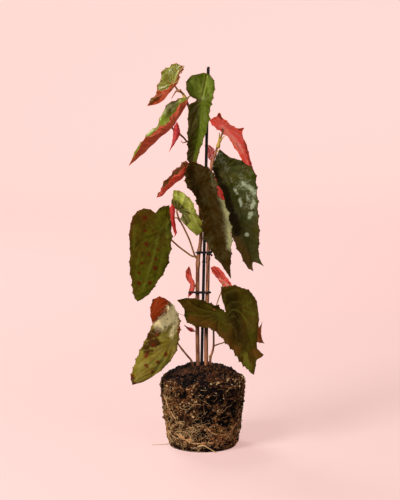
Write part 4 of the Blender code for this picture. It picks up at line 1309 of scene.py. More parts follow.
BLADES = (
    Blade(
        "leaf_01_crown_left",
        rows=(
            ((184.5, 66, 8),), ((174, 64, 20), (178, 70.5, 5), (182, 71, 2)),
            ((166, 68, 25), (175, 77, 3), (179.3, 77, -3)),
            ((160.5, 76, 25), (173.3, 85, 1), (175.2, 84, -8)),
            ((158.5, 86, 19), (168, 93, -7), (163.5, 89, -17)),
            ((153.5, 95.5, 3), (160.5, 101, -15), (156.5, 95, -23)), ((147, 106, -23),),
        ),
        attach=(0.5, 0.0), finish=CROWN, teeth=9, tooth=0.0022, wave=0.0018, columns=31,
        # The pale strokes lay pale veins with painted highlights, and the short dark ones dark veins with
        # painted shade; the dark at the lower tip and the warm strokes are the leaf's colour.
        marks=(
            pale(1.8, 0.4, (162, 78), (168, 70), (174, 66)), pale(1.4, 0.3, (164, 84), (171, 78)),
            pale(0.8, 0.5, (179, 69), (174, 82), (171, 90)), dark(0.9, 0.55, (166, 74), (171, 81)),
            dark(0.8, 0.5, (172, 67), (175, 75)), dark(1.6, 0.75, (150, 104), (157, 98), ragged=1.3),
            warm(5.0, 0.95, (149, 104), (157, 96)), warm(4.0, 0.95, (184, 67), (178, 80), (173, 90)),
        ),
    ),
    Blade(
        "leaf_02_upper_left_long",
        rows=(
            ((188, 98.5, -6),), ((181, 98, -3), (185.5, 105, -7), (183.5, 101.5, -10)),
            ((172, 101.5, 8), (181, 112, -8), (177, 108, -14)),
            ((164, 109, 12), (176.5, 119, -10), (171.5, 116, -18)),
            ((160, 119, 10), (171.5, 127, -13), (167, 122.5, -22)),
            ((156, 126.5, 0), (161, 135, -19), (157, 129.5, -27)),
            ((146, 135.5, -13), (150, 145.5, -26), (146.5, 137.5, -33)),
            ((137.5, 147.5, -26), (140, 155, -33), (138, 149.5, -38)), ((128.5, 166, -42),),
        ),
        attach=(0.5, 0.0), finish=LONG, teeth=12, columns=35,
        # The pale strokes paint glossy highlights; the dark one is a darker patch.
        marks=(
            pale(1.5, 0.55, (164, 112), (172, 105), (180, 101)),
            pale(3.0, 0.7, (164, 111), (169, 106), soft=1.0, ragged=0.8),
            pale(1.4, 0.7, (147, 134), (156, 126)), pale(1.0, 0.8, (162, 113), (160, 120), ragged=1.4),
            pale(0.8, 0.6, (170, 112), (176, 106), ragged=1.4), dark(1.6, 0.3, (171, 124), (175, 122)),
        ),
    ),
    Blade(
        "leaf_03_top_centre",
        rows=(
            ((203.5, 72.6, -7),), ((190.5, 76.6, -11), (202, 79, -6), (210.5, 75.2, -12)),
            ((185.8, 85, -14), (200, 90, -6), (214.8, 84, -15)),
            ((189, 94, -13), (200, 97, -6), (213.6, 95, -16)),
            ((196, 100, -9), (201, 102, -6), (212, 103, -16)),
            ((189, 106, -14), (200, 111, -6), (209.8, 111, -15)),
            ((188, 122, -15), (198.8, 124, -6), (209, 121, -14)),
            ((187.5, 138, -13), (197, 138, -5), (204.3, 138, -12)),
            ((187.5, 150, -9), (194, 150, -3.5), (200, 149, -9)),
            ((187, 158.5, -6), (192, 159, -3.2), (197.5, 159, -6)), ((192, 167, -3.2),),
        ),
        attach=(0.38, 0.15), finish=TOP, teeth=12, wave=0.0014, crease=0.7, columns=41,
        # The pale strokes paint the sheen on the lobes and the light on the right half; the dark strokes
        # paint the shade on the left half, along the lobe's edge and at the sinus.
        marks=(
            pale(5.0, 0.42, (194, 80), (199, 90), soft=1.0, ragged=0.5),
            pale(3.0, 0.5, (208, 82), (210, 94)), pale(0.7, 0.7, (207.5, 76), (205, 90), (202, 101)),
            pale(3.0, 0.25, (205, 108), (204, 122), (202, 136)),
            dark(2.2, 0.6, (188, 80), (187, 88), (192, 97), (199, 101)),
            dark(5.4, 0.85, (194, 106), (192, 122), (190, 140), (189, 156)),
            dark(0.7, 0.75, (206, 75), (203, 90), (200, 100)),
            dark(2.0, 1.0, (193, 99), (197, 102), (201, 101), soft=0.8, ragged=0.5),
        ),
    ),
    Blade(
        "leaf_04_young_pink_upper",
        rows=(
            ((177, 121.5, -15),), ((173.5, 128, -15), (177, 128, -18), (179.3, 127.5, -15)),
            ((173, 135, -15), (176.5, 135, -18), (180, 134, -15)),
            ((171.8, 143, -17), (173.6, 143, -19), (175.8, 142, -17)), ((169, 152, -20),),
        ),
        attach=(0.42, 0.5), finish=CRIMSON, slot="leaf_red", teeth=6, tooth=0.0005, wave=0.0004, columns=21,
    ),
    Blade(
        "leaf_05_upper_right_red",
        rows=(
            ((209.5, 120, 5),), ((213, 126, 10), (214.5, 121.5, 7), (216, 117, 11)),
            ((221, 131.5, 15), (222.5, 125, 13), (224, 119, 20)),
            ((229, 139, 21), (231, 132, 20), (233, 126, 29)),
            ((235.8, 149, 27), (239, 140.5, 26), (241.5, 132.5, 37)),
            ((241, 159, 33), (244.5, 151, 32), (246.3, 146, 42)),
            ((246, 167, 39), (249, 161, 39), (250.5, 161, 45)), ((255, 174, 48),),
        ),
        attach=(0.3, -0.55), finish=CORAL, slot="leaf_red", teeth=9, upper=-1, columns=35,
        spikes=(Spike(0.2, 1, 0.03, (0, 6)), Spike(0.53, 1, 0.03, (5, 3))),
        marks=(
            pale(2.6, 0.5, (222, 128), (234, 140), (242, 152)), dark(1.7, 1.0, (217, 110), (222, 119)),
            dark(1.6, 1.0, (240, 129), (248, 126)),
            dark(0.8, 0.5, (236, 143), (241, 152), soft=1.0, ragged=1.2),
            warm(2.8, 1.0, (246, 142), (250, 156), (253, 170)),
        ),
    ),
    Blade(
        "leaf_06_right_large",
        rows=(
            ((220, 149.5, 7),), ((215, 159, 6), (222, 158, 11), (230, 157, 12)),
            ((212.8, 169, 6), (227, 170, 15), (241, 160.5, 17)),
            ((216.5, 180, 3), (234, 183, 17), (253.5, 170, 22)),
            ((222.8, 193, 2), (240, 197, 17), (257, 185, 23)),
            ((226, 210, 2), (243, 213, 16), (257.8, 205, 21)),
            ((231, 232, 0), (246, 232, 12), (259.2, 226, 16)),
            ((238, 250, -3), (249, 247, 6), (259, 245, 9)),
            ((246.5, 266, -7), (252, 258, 0), (259.5, 258, 2)),
            ((253.5, 271.5, -10), (253.2, 262, -3), (264, 266.5, -2)),
        ),
        attach=(0.2, -0.15), finish=GLOSSY, teeth=13, crease=0.35, columns=45,
        # The small pale flecks and the broad pale patches paint glossy highlights, and the dot at (247,
        # 234.5) is a pale spot; the dark stroke paints the shade on the left half.
        marks=(
            pale(9.0, 0.30, (241, 184), (250, 192), (252, 206), soft=1.0, ragged=1.2),
            pale(1.8, 0.75, (243, 183), (246, 186), soft=0.8, ragged=1.0),
            pale(2.6, 0.70, (249, 186), (254, 193), soft=0.8, ragged=1.1),
            pale(1.5, 0.7, (235, 190), (237, 193), soft=0.8, ragged=1.0),
            pale(1.6, 0.75, (240, 199), (241, 205), soft=0.8, ragged=1.0),
            pale(1.5, 0.6, (247, 196), (248, 199), soft=0.8, ragged=1.0),
            pale(1.6, 0.75, (254, 202), (252, 208), soft=0.8, ragged=1.1),
            pale(2.0, 0.70, (251, 213), (249, 218), soft=0.8, ragged=1.1),
            pale(5.0, 0.28, (221, 156), (226, 168), soft=1.0, ragged=0.8),
            pale(5.0, 0.2, (242, 166), (250, 174), soft=1.0, ragged=0.8),
            pale(2.0, 1.0, (247, 234.5), soft=0.4, ragged=0.3),
            dark(4.8, 0.85, (214, 172), (224, 190), (229, 208), (238, 232)),
            warm(7.0, 0.75, (237, 240), (243, 256), (248, 268)),
        ),
    ),
    Blade(
        "leaf_07_centre_large",
        rows=(
            ((190, 160.5, -11),), ((186, 170, -13), (196, 168, -12), (203, 165.5, -13)),
            ((184.5, 178, -15), (200, 178, -13), (211.3, 170.5, -17)),
            ((187.5, 187, -17), (204, 187, -14), (217.5, 183, -21)),
            ((195.5, 197, -18), (209, 198, -15), (217.3, 192.5, -23)),
            ((200, 209, -19), (213, 211, -17), (226.8, 207, -27)),
            ((202, 224, -21), (217, 226, -20), (230.6, 224, -31)),
            ((204.5, 240, -24), (220, 242, -24), (232, 242, -35)),
            ((212, 252, -28), (223, 255, -29), (231, 258, -37)),
            ((222, 266, -34), (227, 268, -36), (230.5, 268, -40)), ((231, 279, -44),),
        ),
        attach=(0.24, -0.2), finish=DARK_OLIVE, teeth=13, tooth=0.0020, wave=0.0018, crease=0.3, columns=45,
        spikes=(Spike(0.44, -1, 0.02, (-3, 1)),),
        # The long pale strip on the right paints a reflection, and the pale patches by the stalk are a
        # greener tone; the dark stroke paints shade on the left half.
        marks=(
            pale(3.6, 0.3, (211, 170), (215, 186), soft=1.0, ragged=0.9),
            pale(5.0, 0.75, (225, 198), (230, 222), (231, 246), soft=1.0, ragged=0.25),
            pale(4.0, 0.28, (211, 173), (215, 190), soft=1.0, ragged=0.3),
            pale(2.6, 0.26, (219, 196), (223, 216), (227, 240), ragged=1.2),
            pale(3.0, 0.16, (187, 172), (198, 176), ragged=1.2),
            dark(4.0, 0.6, (190, 168), (193, 184), (202, 204)), *dots(1.4, (210, 194), share=0.3),
        ),
    ),
    Blade(
        "leaf_08_mid_left_folded",
        rows=(
            ((190.5, 163.5, -8),), ((184, 161.5, -6), (187.5, 170.5, -8.5), (186, 166.5, -10.5)),
            ((177, 168, -5), (182, 177, -13), (180, 171, -17)),
            ((171, 174, -8), (175, 182, -17), (172.5, 177, -22)),
            ((164.5, 182, -15), (168, 188, -22), (166, 184.5, -27)),
            ((159.5, 191, -24), (162, 193.5, -28), (160.5, 191.5, -30)), ((156.5, 197.5, -33),),
        ),
        attach=(0.12, 0.0), finish=FOLDED, slot="leaf_red", teeth=9, tooth=0.0016, columns=31,
        marks=(
            dark(1.6, 0.5, (166, 182), (176, 172), (186, 163)),
        ),
    ),
    Blade(
        "leaf_09_light_green_twisted",
        rows=(
            ((173.5, 190, -24),), ((172.5, 197, -20), (176, 196, -22), (181, 191.5, -20)),
            ((171.5, 205, -10), (180, 202, -20), (188.5, 197, -18)),
            ((176, 209, -6), (185, 208, -18), (194.3, 206, -16)),
            ((182, 214, -10), (189, 214.5, -17), (197.2, 214.5, -13)),
            ((181, 219, -18), (192, 221.5, -16), (201.8, 222, -10)),
            ((187, 227, -16), (195, 229, -14), (203, 230, -9)), ((197, 236, -10),),
        ),
        attach=(0.42, -0.75), finish=LIME, slot="leaf_light", teeth=10, tooth=0.0008, upper=-1, columns=31,
        # The pale strokes paint highlights, and the dark ones the shade inside the fold.
        marks=(
            pale(1.0, 0.6, (184, 196), (192, 207), soft=1.0, ragged=1.2),
            pale(1.3, 0.6, (176, 195), (186, 202)), pale(1.2, 0.6, (189, 208), (196, 222)),
            dark(5.4, 1.0, (175, 206), (184, 213), soft=0.5, ragged=0.3),
            dark(4.0, 1.0, (182, 215), (187, 221), soft=0.5, ragged=0.3),
            dark(1.2, 0.5, (190, 213), (194, 206), soft=1.0, ragged=0.8),
            dark(0.8, 0.4, (175, 196), (181, 199), soft=1.0, ragged=1.2),
        ),
    ),
    Blade(
        "leaf_10_curled_red",
        rows=(
            ((172.2, 203.5, -26),), ((170, 209, -22), (172.3, 209, -28), (174.6, 209, -22)),
            ((170.3, 217, -22), (172.6, 217, -28), (174.6, 217, -22)),
            ((171.8, 225, -23), (173.6, 225, -27), (175, 225, -23)),
            ((173.6, 230.5, -24), (175, 230.8, -26), (176.3, 230.2, -24)),
            ((175, 234, -24), (176.2, 233.6, -26), (177, 232.6, -24)), ((174, 237, -25),),
        ),
        attach=(0.35, 0.6), finish=CRIMSON, slot="leaf_red", teeth=6, tooth=0.0003, wave=0.0003, upper=-1,
        columns=21,
        marks=(
            warm(12.0, 0.6, (172, 205), (174, 236)),
        ),
    ),
    Blade(
        "leaf_11_left_spotted",
        rows=(
            ((155.5, 213, -15),), ((148, 208.5, -12), (156, 217.5, -17), (160.5, 207.5, -15)),
            ((138, 211.3, -4), (156, 224.5, -20), (168.5, 205.5, -15)),
            ((132, 218.5, 0), (154, 232, -21), (171, 217, -16)),
            ((129.6, 232, 0), (151, 241, -22), (171.7, 234, -18)),
            ((129.8, 252, -4), (150, 254, -25), (170.7, 252, -24)),
            ((130, 270, -12), (147, 269, -29), (164.7, 271, -31)),
            ((132, 286, -24), (142.5, 285, -34), (154, 287.5, -36)),
            ((134, 296.5, -35), (139, 295, -39), (145, 297.5, -40)), ((137.5, 301.5, -44),),
        ),
        attach=(0.36, 0.5), finish=OLIVE, teeth=13, crease=0.3, columns=45, freckles=7,
        marks=(
            pale(3.6, 0.5, (168, 222), (171, 234), soft=1.0, ragged=0.8),
            pale(3.0, 0.6, (167, 226), (168, 236)), pale(2.0, 0.35, (134, 226), (134, 250)),
            pale(1.4, 0.45, (158, 236), (152, 262), (142, 292), soft=1.0, ragged=1.2),
            pale(1.6, 0.3, (140, 250), (136, 275), soft=1.0, ragged=1.4),
            dark(3.6, 0.35, (136, 216), (146, 222), (142, 234), soft=1.0, ragged=1.4),
            warm(6.0, 0.6, (134, 210), (130, 222), (131, 236), soft=1.0, ragged=1.0),
            warm(4.0, 0.5, (146, 214), (143, 224), soft=1.0, ragged=1.2),
            warm(5.0, 0.5, (138, 216), (150, 213)), *dots(2.1, (145, 218)),
            *dots(2.2, (145, 231), (149, 254), (142, 263), (155, 268)), *dots(2.3, (146, 244)),
            *dots(2.0, (139, 273)), *dots(1.8, (139, 283), (150, 283)),
            *dots(1.6, (158, 250), (156, 259), share=0.8),
        ),
    ),
    Blade(
        "leaf_12_low_left_spotted",
        rows=(
            ((152.5, 324, -36),), ((150.2, 312, -34), (158, 311.5, -39), (168, 311.5, -35)),
            ((153, 299.5, -27), (161, 296.5, -30), (169, 302, -29)),
            ((154.5, 316, -18), (165, 310, -20), (177, 311, -21)),
            ((150.8, 328, -18), (165, 324, -22), (180.2, 323, -17)),
            ((145.2, 340, -19), (161, 340, -25), (179.2, 337, -17)),
            ((138.7, 353, -23), (154, 355, -31), (175, 354, -22)),
            ((133.5, 367, -31), (145, 368, -38), (162, 369.5, -31)),
            ((130.6, 377, -40), (137.5, 378, -44), (147, 380, -40)), ((132.5, 385, -48),),
        ),
        attach=(0.57, 0.65), finish=PALE_OLIVE, teeth=14, crease=0.2, columns=45, freckles=5,
        # The two broad pale strokes lay a cream tone with a painted glossy highlight; the dark strokes are
        # brown blotches.
        marks=(
            pale(6.0, 0.95, (173, 310), (169, 318), (160, 326), soft=1.0, ragged=0.6),
            pale(3.6, 0.6, (176, 318), (172, 336), soft=1.0, ragged=0.6),
            dark(4.6, 0.95, (158, 331), (150, 336), soft=0.7, ragged=1.0),
            dark(5.0, 0.9, (155, 342), (147, 348), soft=0.7, ragged=1.0),
            dark(2.4, 0.95, (130, 375), (134, 384), ragged=1.2),
            warm(7.0, 0.95, (155, 318), (154, 304), (163, 299)), warm(1.5, 0.8, (179, 319), (179, 334)),
            *dots(2.0, (157, 334), (153, 345), (146, 356), (166, 354)), *dots(1.9, (146, 365), (158, 362)),
            *dots(1.7, (152, 372)), *dots(1.2, (133, 375), (131, 378)), *dots(1.1, (135, 383)),
        ),
    ),
    Blade(
        "leaf_13_low_right_large",
        rows=(
            ((177, 300, -12),), ((184, 309, -14), (186, 304, -11), (188.5, 298, -12)),
            ((185.5, 320, -16), (194, 310, -11), (201, 299.7, -12)),
            ((196, 326.7, -18), (204, 314, -11), (211, 303.5, -12)),
            ((207, 327.7, -20), (214, 316, -11), (220, 307, -12)),
            ((217, 333, -24), (224, 321, -12), (226.3, 311, -11)),
            ((225.7, 343, -29), (233, 313, -12), (221, 288, -7)),
            ((232, 350, -33), (241, 317, -15), (240, 287, -6)),
            ((238, 359, -38), (245, 326, -20), (255, 297, -10)),
            ((243, 365.3, -42), (248, 339, -28), (258.5, 320, -18)),
            ((248, 370, -46), (251, 353, -37), (256.6, 345, -31)),
            ((251, 373, -50), (253.5, 364, -45), (256, 362, -44)), ((254, 375, -53),),
        ),
        attach=(0.375, 0.35), finish=LOW_OLIVE, teeth=16, tooth=0.0017, wave=0.0018, crease=0.4, columns=45,
        spikes=(Spike(0.875, 1, 0.022, (9, -2)),),
        # The pale strokes on the upper right paint glossy highlights; the wide dark stroke paints the shade
        # in the right lobe, and the one near the stalk the shade by the middle.
        marks=(
            pale(7.0, 0.30, (246, 298), (253, 314), (252, 334), soft=1.0, ragged=0.6),
            pale(1.0, 0.5, (244, 306), (252, 302)), pale(1.0, 0.5, (243, 310), (255, 314)),
            pale(1.0, 0.5, (243, 316), (254, 330)), pale(3.4, 0.55, (244, 354), (250, 370)),
            dark(7.5, 0.8, (231, 298), (235, 318), (240, 336), soft=1.0),
            dark(2.5, 0.5, (206, 314), (216, 316), soft=1.0),
            dark(3.0, 0.5, (246, 340), (243, 352), soft=1.0),
            warm(3.0, 0.6, (190, 318), (212, 325), (228, 342), (246, 360), soft=0.9),
            warm(3.4, 0.95, (254, 352), (259, 356), (263, 358), soft=1.0, ragged=0.4),
            warm(2.0, 0.7, (240, 350), (247, 358), (252, 368), soft=0.8, ragged=1.4),
            *dots(1.4, (214, 310), share=0.7),
        ),
    ),
    Blade(
        "leaf_14_low_right_pink",
        rows=(
            ((210.6, 267.5, 1),), ((213, 273.5, 3), (214, 269.5, 1), (215, 266.3, 3)),
            ((217.5, 278.5, 7), (219, 273.5, 4), (220.5, 269.2, 7)),
            ((221, 283.5, 9), (223.7, 278, 6), (226.3, 277, 9)),
            ((225.5, 287.7, 11), (228, 283, 9), (230, 282, 11)), ((233, 287.5, 13),),
        ),
        attach=(0.62, -0.55), finish=CORAL, slot="leaf_red", teeth=6, tooth=0.0006, wave=0.0005, upper=-1,
        columns=25,
        marks=(
            pale(1.1, 0.9, (220, 279), (228, 285), ragged=1.2), dark(0.8, 0.6, (225, 279), (229, 283)),
            warm(3.4, 0.9, (212, 268), (217, 274), (221, 279)),
        ),
    ),
    Blade(
        "leaf_15_low_left_pink",
        rows=(
            ((189, 266, 9),), ((185.6, 272, 8), (188.2, 272.5, 5), (190.8, 271, 8)),
            ((186.6, 279, 7), (189.6, 279, 4), (192.2, 277.5, 7)),
            ((190.2, 284, 7), (192.6, 285, 4), (195, 284, 7)),
            ((189, 291, 7), (191.4, 291.5, 5), (194, 291, 7)), ((187.8, 298, 8),),
        ),
        attach=(0.6, 0.5), finish=CORAL, slot="leaf_red", teeth=6, tooth=0.0005, wave=0.0004, upper=-1,
        columns=25,
        marks=(
            dark(1.5, 0.95, (188, 291), (190, 294)), warm(2.4, 0.95, (189, 266), (190, 272)),
            warm(0.8, 0.8, (192, 274), (194.5, 284), (193.5, 294)),
        ),
    ),
    Blade(
        "leaf_16_low_young_tip",
        rows=(
            ((195, 331, 5),), ((191.5, 332, 7), (191.8, 329.8, 6), (192.2, 328, 8)),
            ((188, 329.7, 10), (188, 328.3, 9), (188, 327, 11)), ((184, 324.8, 14),),
        ),
        attach=(0.2, 0.0), finish=CRIMSON, slot="leaf_red", teeth=5, tooth=0.0003, wave=0.0002, columns=21,
        marks=(
            dark(1.6, 0.8, (184, 325), (187, 328)),
        ),
    ),
    Blade(
        "leaf_17_back_upper",
        rows=(
            ((211.3, 160.5, 7),), ((208.6, 158, 11), (211.5, 156.5, 14), (215.0, 153, 21)),
            ((207.4, 154, 20), (210.6, 151.5, 27), (213.6, 149, 38)),
            ((206, 149.5, 34), (208.6, 148, 41), (211, 146.5, 50)), ((204.4, 145, 60),),
        ),
        attach=(0.12, 0.0), finish=CORAL, slot="leaf_red", teeth=7, upper=-1, columns=25,
        # The dark stroke paints shade over most of the leaf.
        marks=(
            dark(8.0, 0.6, (210, 147), (213, 160)),
        ),
    ),
    Blade(
        "leaf_18_back_mid",
        rows=(
            ((216, 177, 21),), ((211, 184, 28), (218, 184, 23), (227, 182, 31)),
            ((210, 196, 35), (220, 196, 30), (233, 194, 40)),
            ((213, 210, 44), (223, 210, 38), (236, 207, 48)),
            ((219, 224, 51), (228, 223, 47), (237, 220, 54)), ((231, 235, 60),),
        ),
        attach=(0.2, 0.0), finish=CORAL, slot="leaf_red", teeth=9, upper=-1, columns=35,
        marks=(
            warm(6.0, 0.5, (216, 180), (222, 200), ragged=1.2),
        ),
    ),
    Blade(
        "leaf_19_right_curled",
        rows=(
            ((225.5, 339.5, 3),), ((232, 343, 6), (232.5, 337, 6), (233, 331, 9)),
            ((242, 345, 12), (243, 335, 13), (243.5, 326, 18)),
            ((252, 344.5, 17), (252.5, 334.5, 20), (253, 325, 25)),
            ((257.5, 342.5, 17), (259, 334, 20), (259.3, 327, 23)),
            ((263, 343.5, 12), (261, 334, 15), (261.5, 324, 17)),
        ),
        attach=(0.12, 0.0), finish=RUSSET, slot="leaf_red", teeth=8, upper=-1, columns=31,
        spikes=(Spike(1.0, 1, 0.05, (1, 3)), Spike(1.0, -1, 0.05, (2, 0))),
    ),
)


@dataclass
class RootBall:
    """The moulded block of peat: crumbs, perlite, clods, and the roots that lie on its side.

    Its radii are (height, radius) pairs, and a crumb size is its depth, its width and a seed. Places and
    strokes named here are spots in the view, and a stroke starts with its width. A thick root is given by
    its turns and its heights at both ends, and a loose root by its points.
    """

    radii: tuple = (
        (0.0, 0.0425), (0.006, 0.0446), (0.030, 0.0483), (0.055, 0.0514), (0.078, 0.0535), (0.0865, 0.0525),
    )
    dome: float = 0.019
    dip: float = 0.0035
    dip_width: float = 0.016
    sectors: int = 340
    crumb_sizes: tuple = ((0.0014, 0.009, 1), (0.0015, 0.0042, 2), (0.0008, 0.0019, 5))
    named_grain_range: tuple = (0.0007, 0.0012)
    grain_range: tuple = (0.0003, 0.0007)
    perlite_places: tuple = (
        (227, 382), (232, 385), (237, 384), (223, 378), (229, 379), (235, 381), (239, 388), (182, 374),
        (216, 393.5), (192, 400), (199, 396), (213, 410), (218, 411), (176, 396), (205, 388), (224, 399),
        (231, 405), (186, 412), (171, 381), (209, 421), (198, 431), (221, 424),
    )
    # painted near-black shade in the gaps of the side
    shade_strokes: tuple = (
        (7, (200, 392), (226, 396)), (5, (204, 400), (206, 424)), (5, (222, 418), (226, 428)),
        (6, (206, 436), (214, 446)), (4, (176, 378), (190, 382)), (4, (232, 392), (238, 400)),
    )
    # light strokes: lighter crumbs along the top's rim, tan crumbs with painted highlight
    light_strokes: tuple = ((9, (204, 376), (220, 380), (236, 384)), (5, (172, 380), (184, 374)))
    thick_roots: tuple = (
        (-2.9, -2.1, 0.070, 0.034), (-2.7, -1.8, 0.030, 0.012), (-2.3, -1.2, 0.020, 0.008),
        (-1.5, -0.6, 0.034, 0.010), (-1.0, -0.3, 0.014, 0.040), (-0.4, 0.5, 0.024, 0.010),
        (0.4, 1.5, 0.012, 0.030), (1.2, 2.2, 0.050, 0.020), (2.0, 2.9, 0.010, 0.026),
        (2.7, 3.4, 0.060, 0.020),
    )
    loose_roots: tuple = (
        ((-0.0100, -0.0400, 0.0080), (-0.0050, -0.0450, 0.0085), (0.0005, -0.0460, 0.0100),
         (0.0060, -0.0458, 0.0070), (0.0100, -0.0450, 0.0045), (0.0140, -0.0450, 0.0018),
         (0.0165, -0.0470, 0.0012)),
        ((-0.0405, -0.0060, 0.0040), (-0.0450, -0.0065, 0.0016), (-0.0500, -0.0070, 0.0009),
         (-0.0560, -0.0072, 0.0008), (-0.0655, -0.0085, 0.0007)),
    )
    loose_radii: tuple = (0.0010, 0.0005)
    grain_count: int = 260
    clod_count: int = 7200
    root_count: int = 760
    root_step: float = 0.0017
    left_turn: float = 2.95
    seed: int = 11

    def radius_at(self, height: Array) -> Array:
        """The side's radius.

        Args:
            height: heights in metres, of any shape.

        Returns:
            The radii in metres.
        """
        heights, radii = zip(*self.radii)
        return np.interp(height, heights, radii)

    def profile(self) -> Array:
        """The outline from the middle of the base, up the side and over the dome.

        Returns:
            An array (n, 2) of radii and heights in metres.
        """
        rim_height, rim = self.radii[-1]
        foot = np.linspace(0.0005, self.radii[0][1] - 0.001, 14)
        side = np.linspace(0.0, rim_height, 98)
        over = rim * (1 - np.linspace(0.0, 1.0, 76)[1:-1])
        rise = rim_height + self.dome * (1 - (over / rim) ** 2) - self.dip * bell(over, self.dip_width)
        rows = ((foot, np.zeros_like(foot)), (self.radius_at(side), side), (over, rise))
        return np.concatenate([np.stack(row, -1) for row in rows])

    def surface(self) -> tuple[Array, Array]:
        """The block's surface.

        The outline is turned about the upright axis and pushed along its own normal by three sizes of noise.

        Returns:
            Its points and its outward directions, two arrays (rows, sectors, 3).
        """
        outline = self.profile()
        ahead = unit(np.gradient(outline, axis=0))
        around = level_ring(np.arange(self.sectors) * FULL_TURN / self.sectors)
        upright = np.array([0.0, 0.0, 1.0])
        points = outline[:, None, :1] * around + outline[:, None, 1:] * upright
        outward = ahead[:, None, 1:] * around - ahead[:, None, :1] * upright
        crumbs = sum(depth * lumps(points, size, seed) for depth, size, seed in self.crumb_sizes)
        free = ramp(points[..., 2], 0.0, 0.004)
        points = points + outward * (crumbs * (0.15 + 0.85 * free))[..., None]
        points[..., 2] = np.maximum(points[..., 2], 0.0)
        return points, outward

    def tan_share(self, points: Array) -> Array:
        """How far roots turn the side tan: most on the left and near the foot, in ragged patches.

        Args:
            points: an array (..., 3) in metres.

        Returns:
            An array (...) from 0 to 1.
        """
        turn = np.arctan2(points[..., 1], points[..., 0])
        height = points[..., 2]
        left = bell((turn - self.left_turn + HALF_TURN) % FULL_TURN - HALF_TURN, 0.62)
        right = bell(turn + 0.85, 0.45) * (1 - ramp(height, 0.034, 0.060))
        foot = 1 - ramp(height, 0.012, 0.046)
        patch = 0.5 + 0.5 * lumps(points, 0.011, 9)
        spread = left + 0.35 * foot * patch**2 + right * patch + 0.12 * patch
        return np.clip(spread * (1 - ramp(height, 0.078, 0.090)) * ramp(height, 0.006, 0.015), 0, 1)

    @staticmethod
    def stroked(points: Array, strokes: tuple, wobble: Array, ragged: float) -> Array:
        """How far each point at the front lies in one of the strokes.

        Args:
            points: an array (..., 3) in metres.
            strokes: the strokes, each a width and its places in the view.
            wobble: an array (...) from -1 to 1.
            ragged: how far a stroke's edge wobbles, as a share of its width.

        Returns:
            An array (...) from 0 to 1.
        """
        seen = FrontView.seen_at(points)
        marks = [dark(width, 1.0, *places, ragged=ragged) for width, *places in strokes]
        return np.max([mark.cover(seen, wobble) for mark in marks], 0) * (points[..., 1] < 0)

    def shade_and_dark_share(self, points: Array) -> Array:
        """How far each point is painted near black: shade in low places, in the shade strokes and round the
        foot, dark patches on the back, and the top.

        Args:
            points: an array (..., 3) in metres.

        Returns:
            An array (...) from 0 to 1.
        """
        # low: painted shade in the low places between the surface's bumps; rear: dark patches on the back;
        # foot: painted shade round the foot; top: darker on the top of the dome.
        low = -0.5 * lumps(points, 0.009, 1) - 0.5 * lumps(points, 0.0042, 2)
        wobble = lumps(points, 0.006, 12)
        rear = ramp(lumps(points, 0.016, 14), 0.15, 0.55) * (points[..., 1] >= 0)
        broad = self.stroked(points, self.shade_strokes, wobble, 0.9) + rear
        foot = 1 - ramp(points[..., 2] + 0.003 * wobble, 0.002, 0.008)
        top = 0.6 * ramp(points[..., 2], 0.088, 0.095)
        return np.clip(ramp(low + 0.35 * broad, 0.02, 0.28) + 0.45 * broad + 0.7 * foot + top, 0, 1)

    def block(self, effects: Effects) -> tuple[Piece, Array, Array]:
        """The block itself.

        Args:
            effects: the shared effects.

        Returns:
            The dressed piece, and its points and outward directions.
        """
        points, outward = self.surface()
        rows, ring = points.shape[:2]
        poles = rows * ring
        whole = np.concatenate([points.reshape(-1, 3), points[0].mean(0)[None], points[-1].mean(0)[None]])
        caps = [fan(ring, 0, poles, False), fan(ring, poles - ring, poles + 1, True)]
        piece = build_mesh("root_ball_fine", whole, ring_quads(rows, ring), np.concatenate(caps))
        for name, share in (("fibre", self.tan_share(points)), ("hollow", self.shade_and_dark_share(points))):
            mark_points(piece, **{name: np.concatenate([share.reshape(-1), [0.0, 0.0]])})
        PEAT.dress(piece, effects)
        return piece, points, outward

    @staticmethod
    def grain_shape() -> tuple[Array, Array]:
        """A grain of twenty sides.

        Returns:
            Its corners at length one, an array (12, 3), and its triangles, an array (20, 3).
        """
        gold = (1 + 5**0.5) / 2
        corners = np.array([
            (-1, gold, 0), (1, gold, 0), (-1, -gold, 0), (1, -gold, 0), (0, -1, gold), (0, 1, gold),
            (0, -1, -gold), (0, 1, -gold), (gold, 0, -1), (gold, 0, 1), (-gold, 0, -1), (-gold, 0, 1),
        ], float)
        faces = np.array([
            (0, 11, 5), (0, 5, 1), (0, 1, 7), (0, 7, 10), (0, 10, 11), (1, 5, 9), (5, 11, 4), (11, 10, 2),
            (10, 7, 6), (7, 1, 8), (3, 9, 4), (3, 4, 2), (3, 2, 6), (3, 6, 8), (3, 8, 9), (4, 9, 5),
            (2, 4, 11), (6, 2, 10), (8, 6, 7), (9, 8, 1),
        ])
        return unit(corners), faces

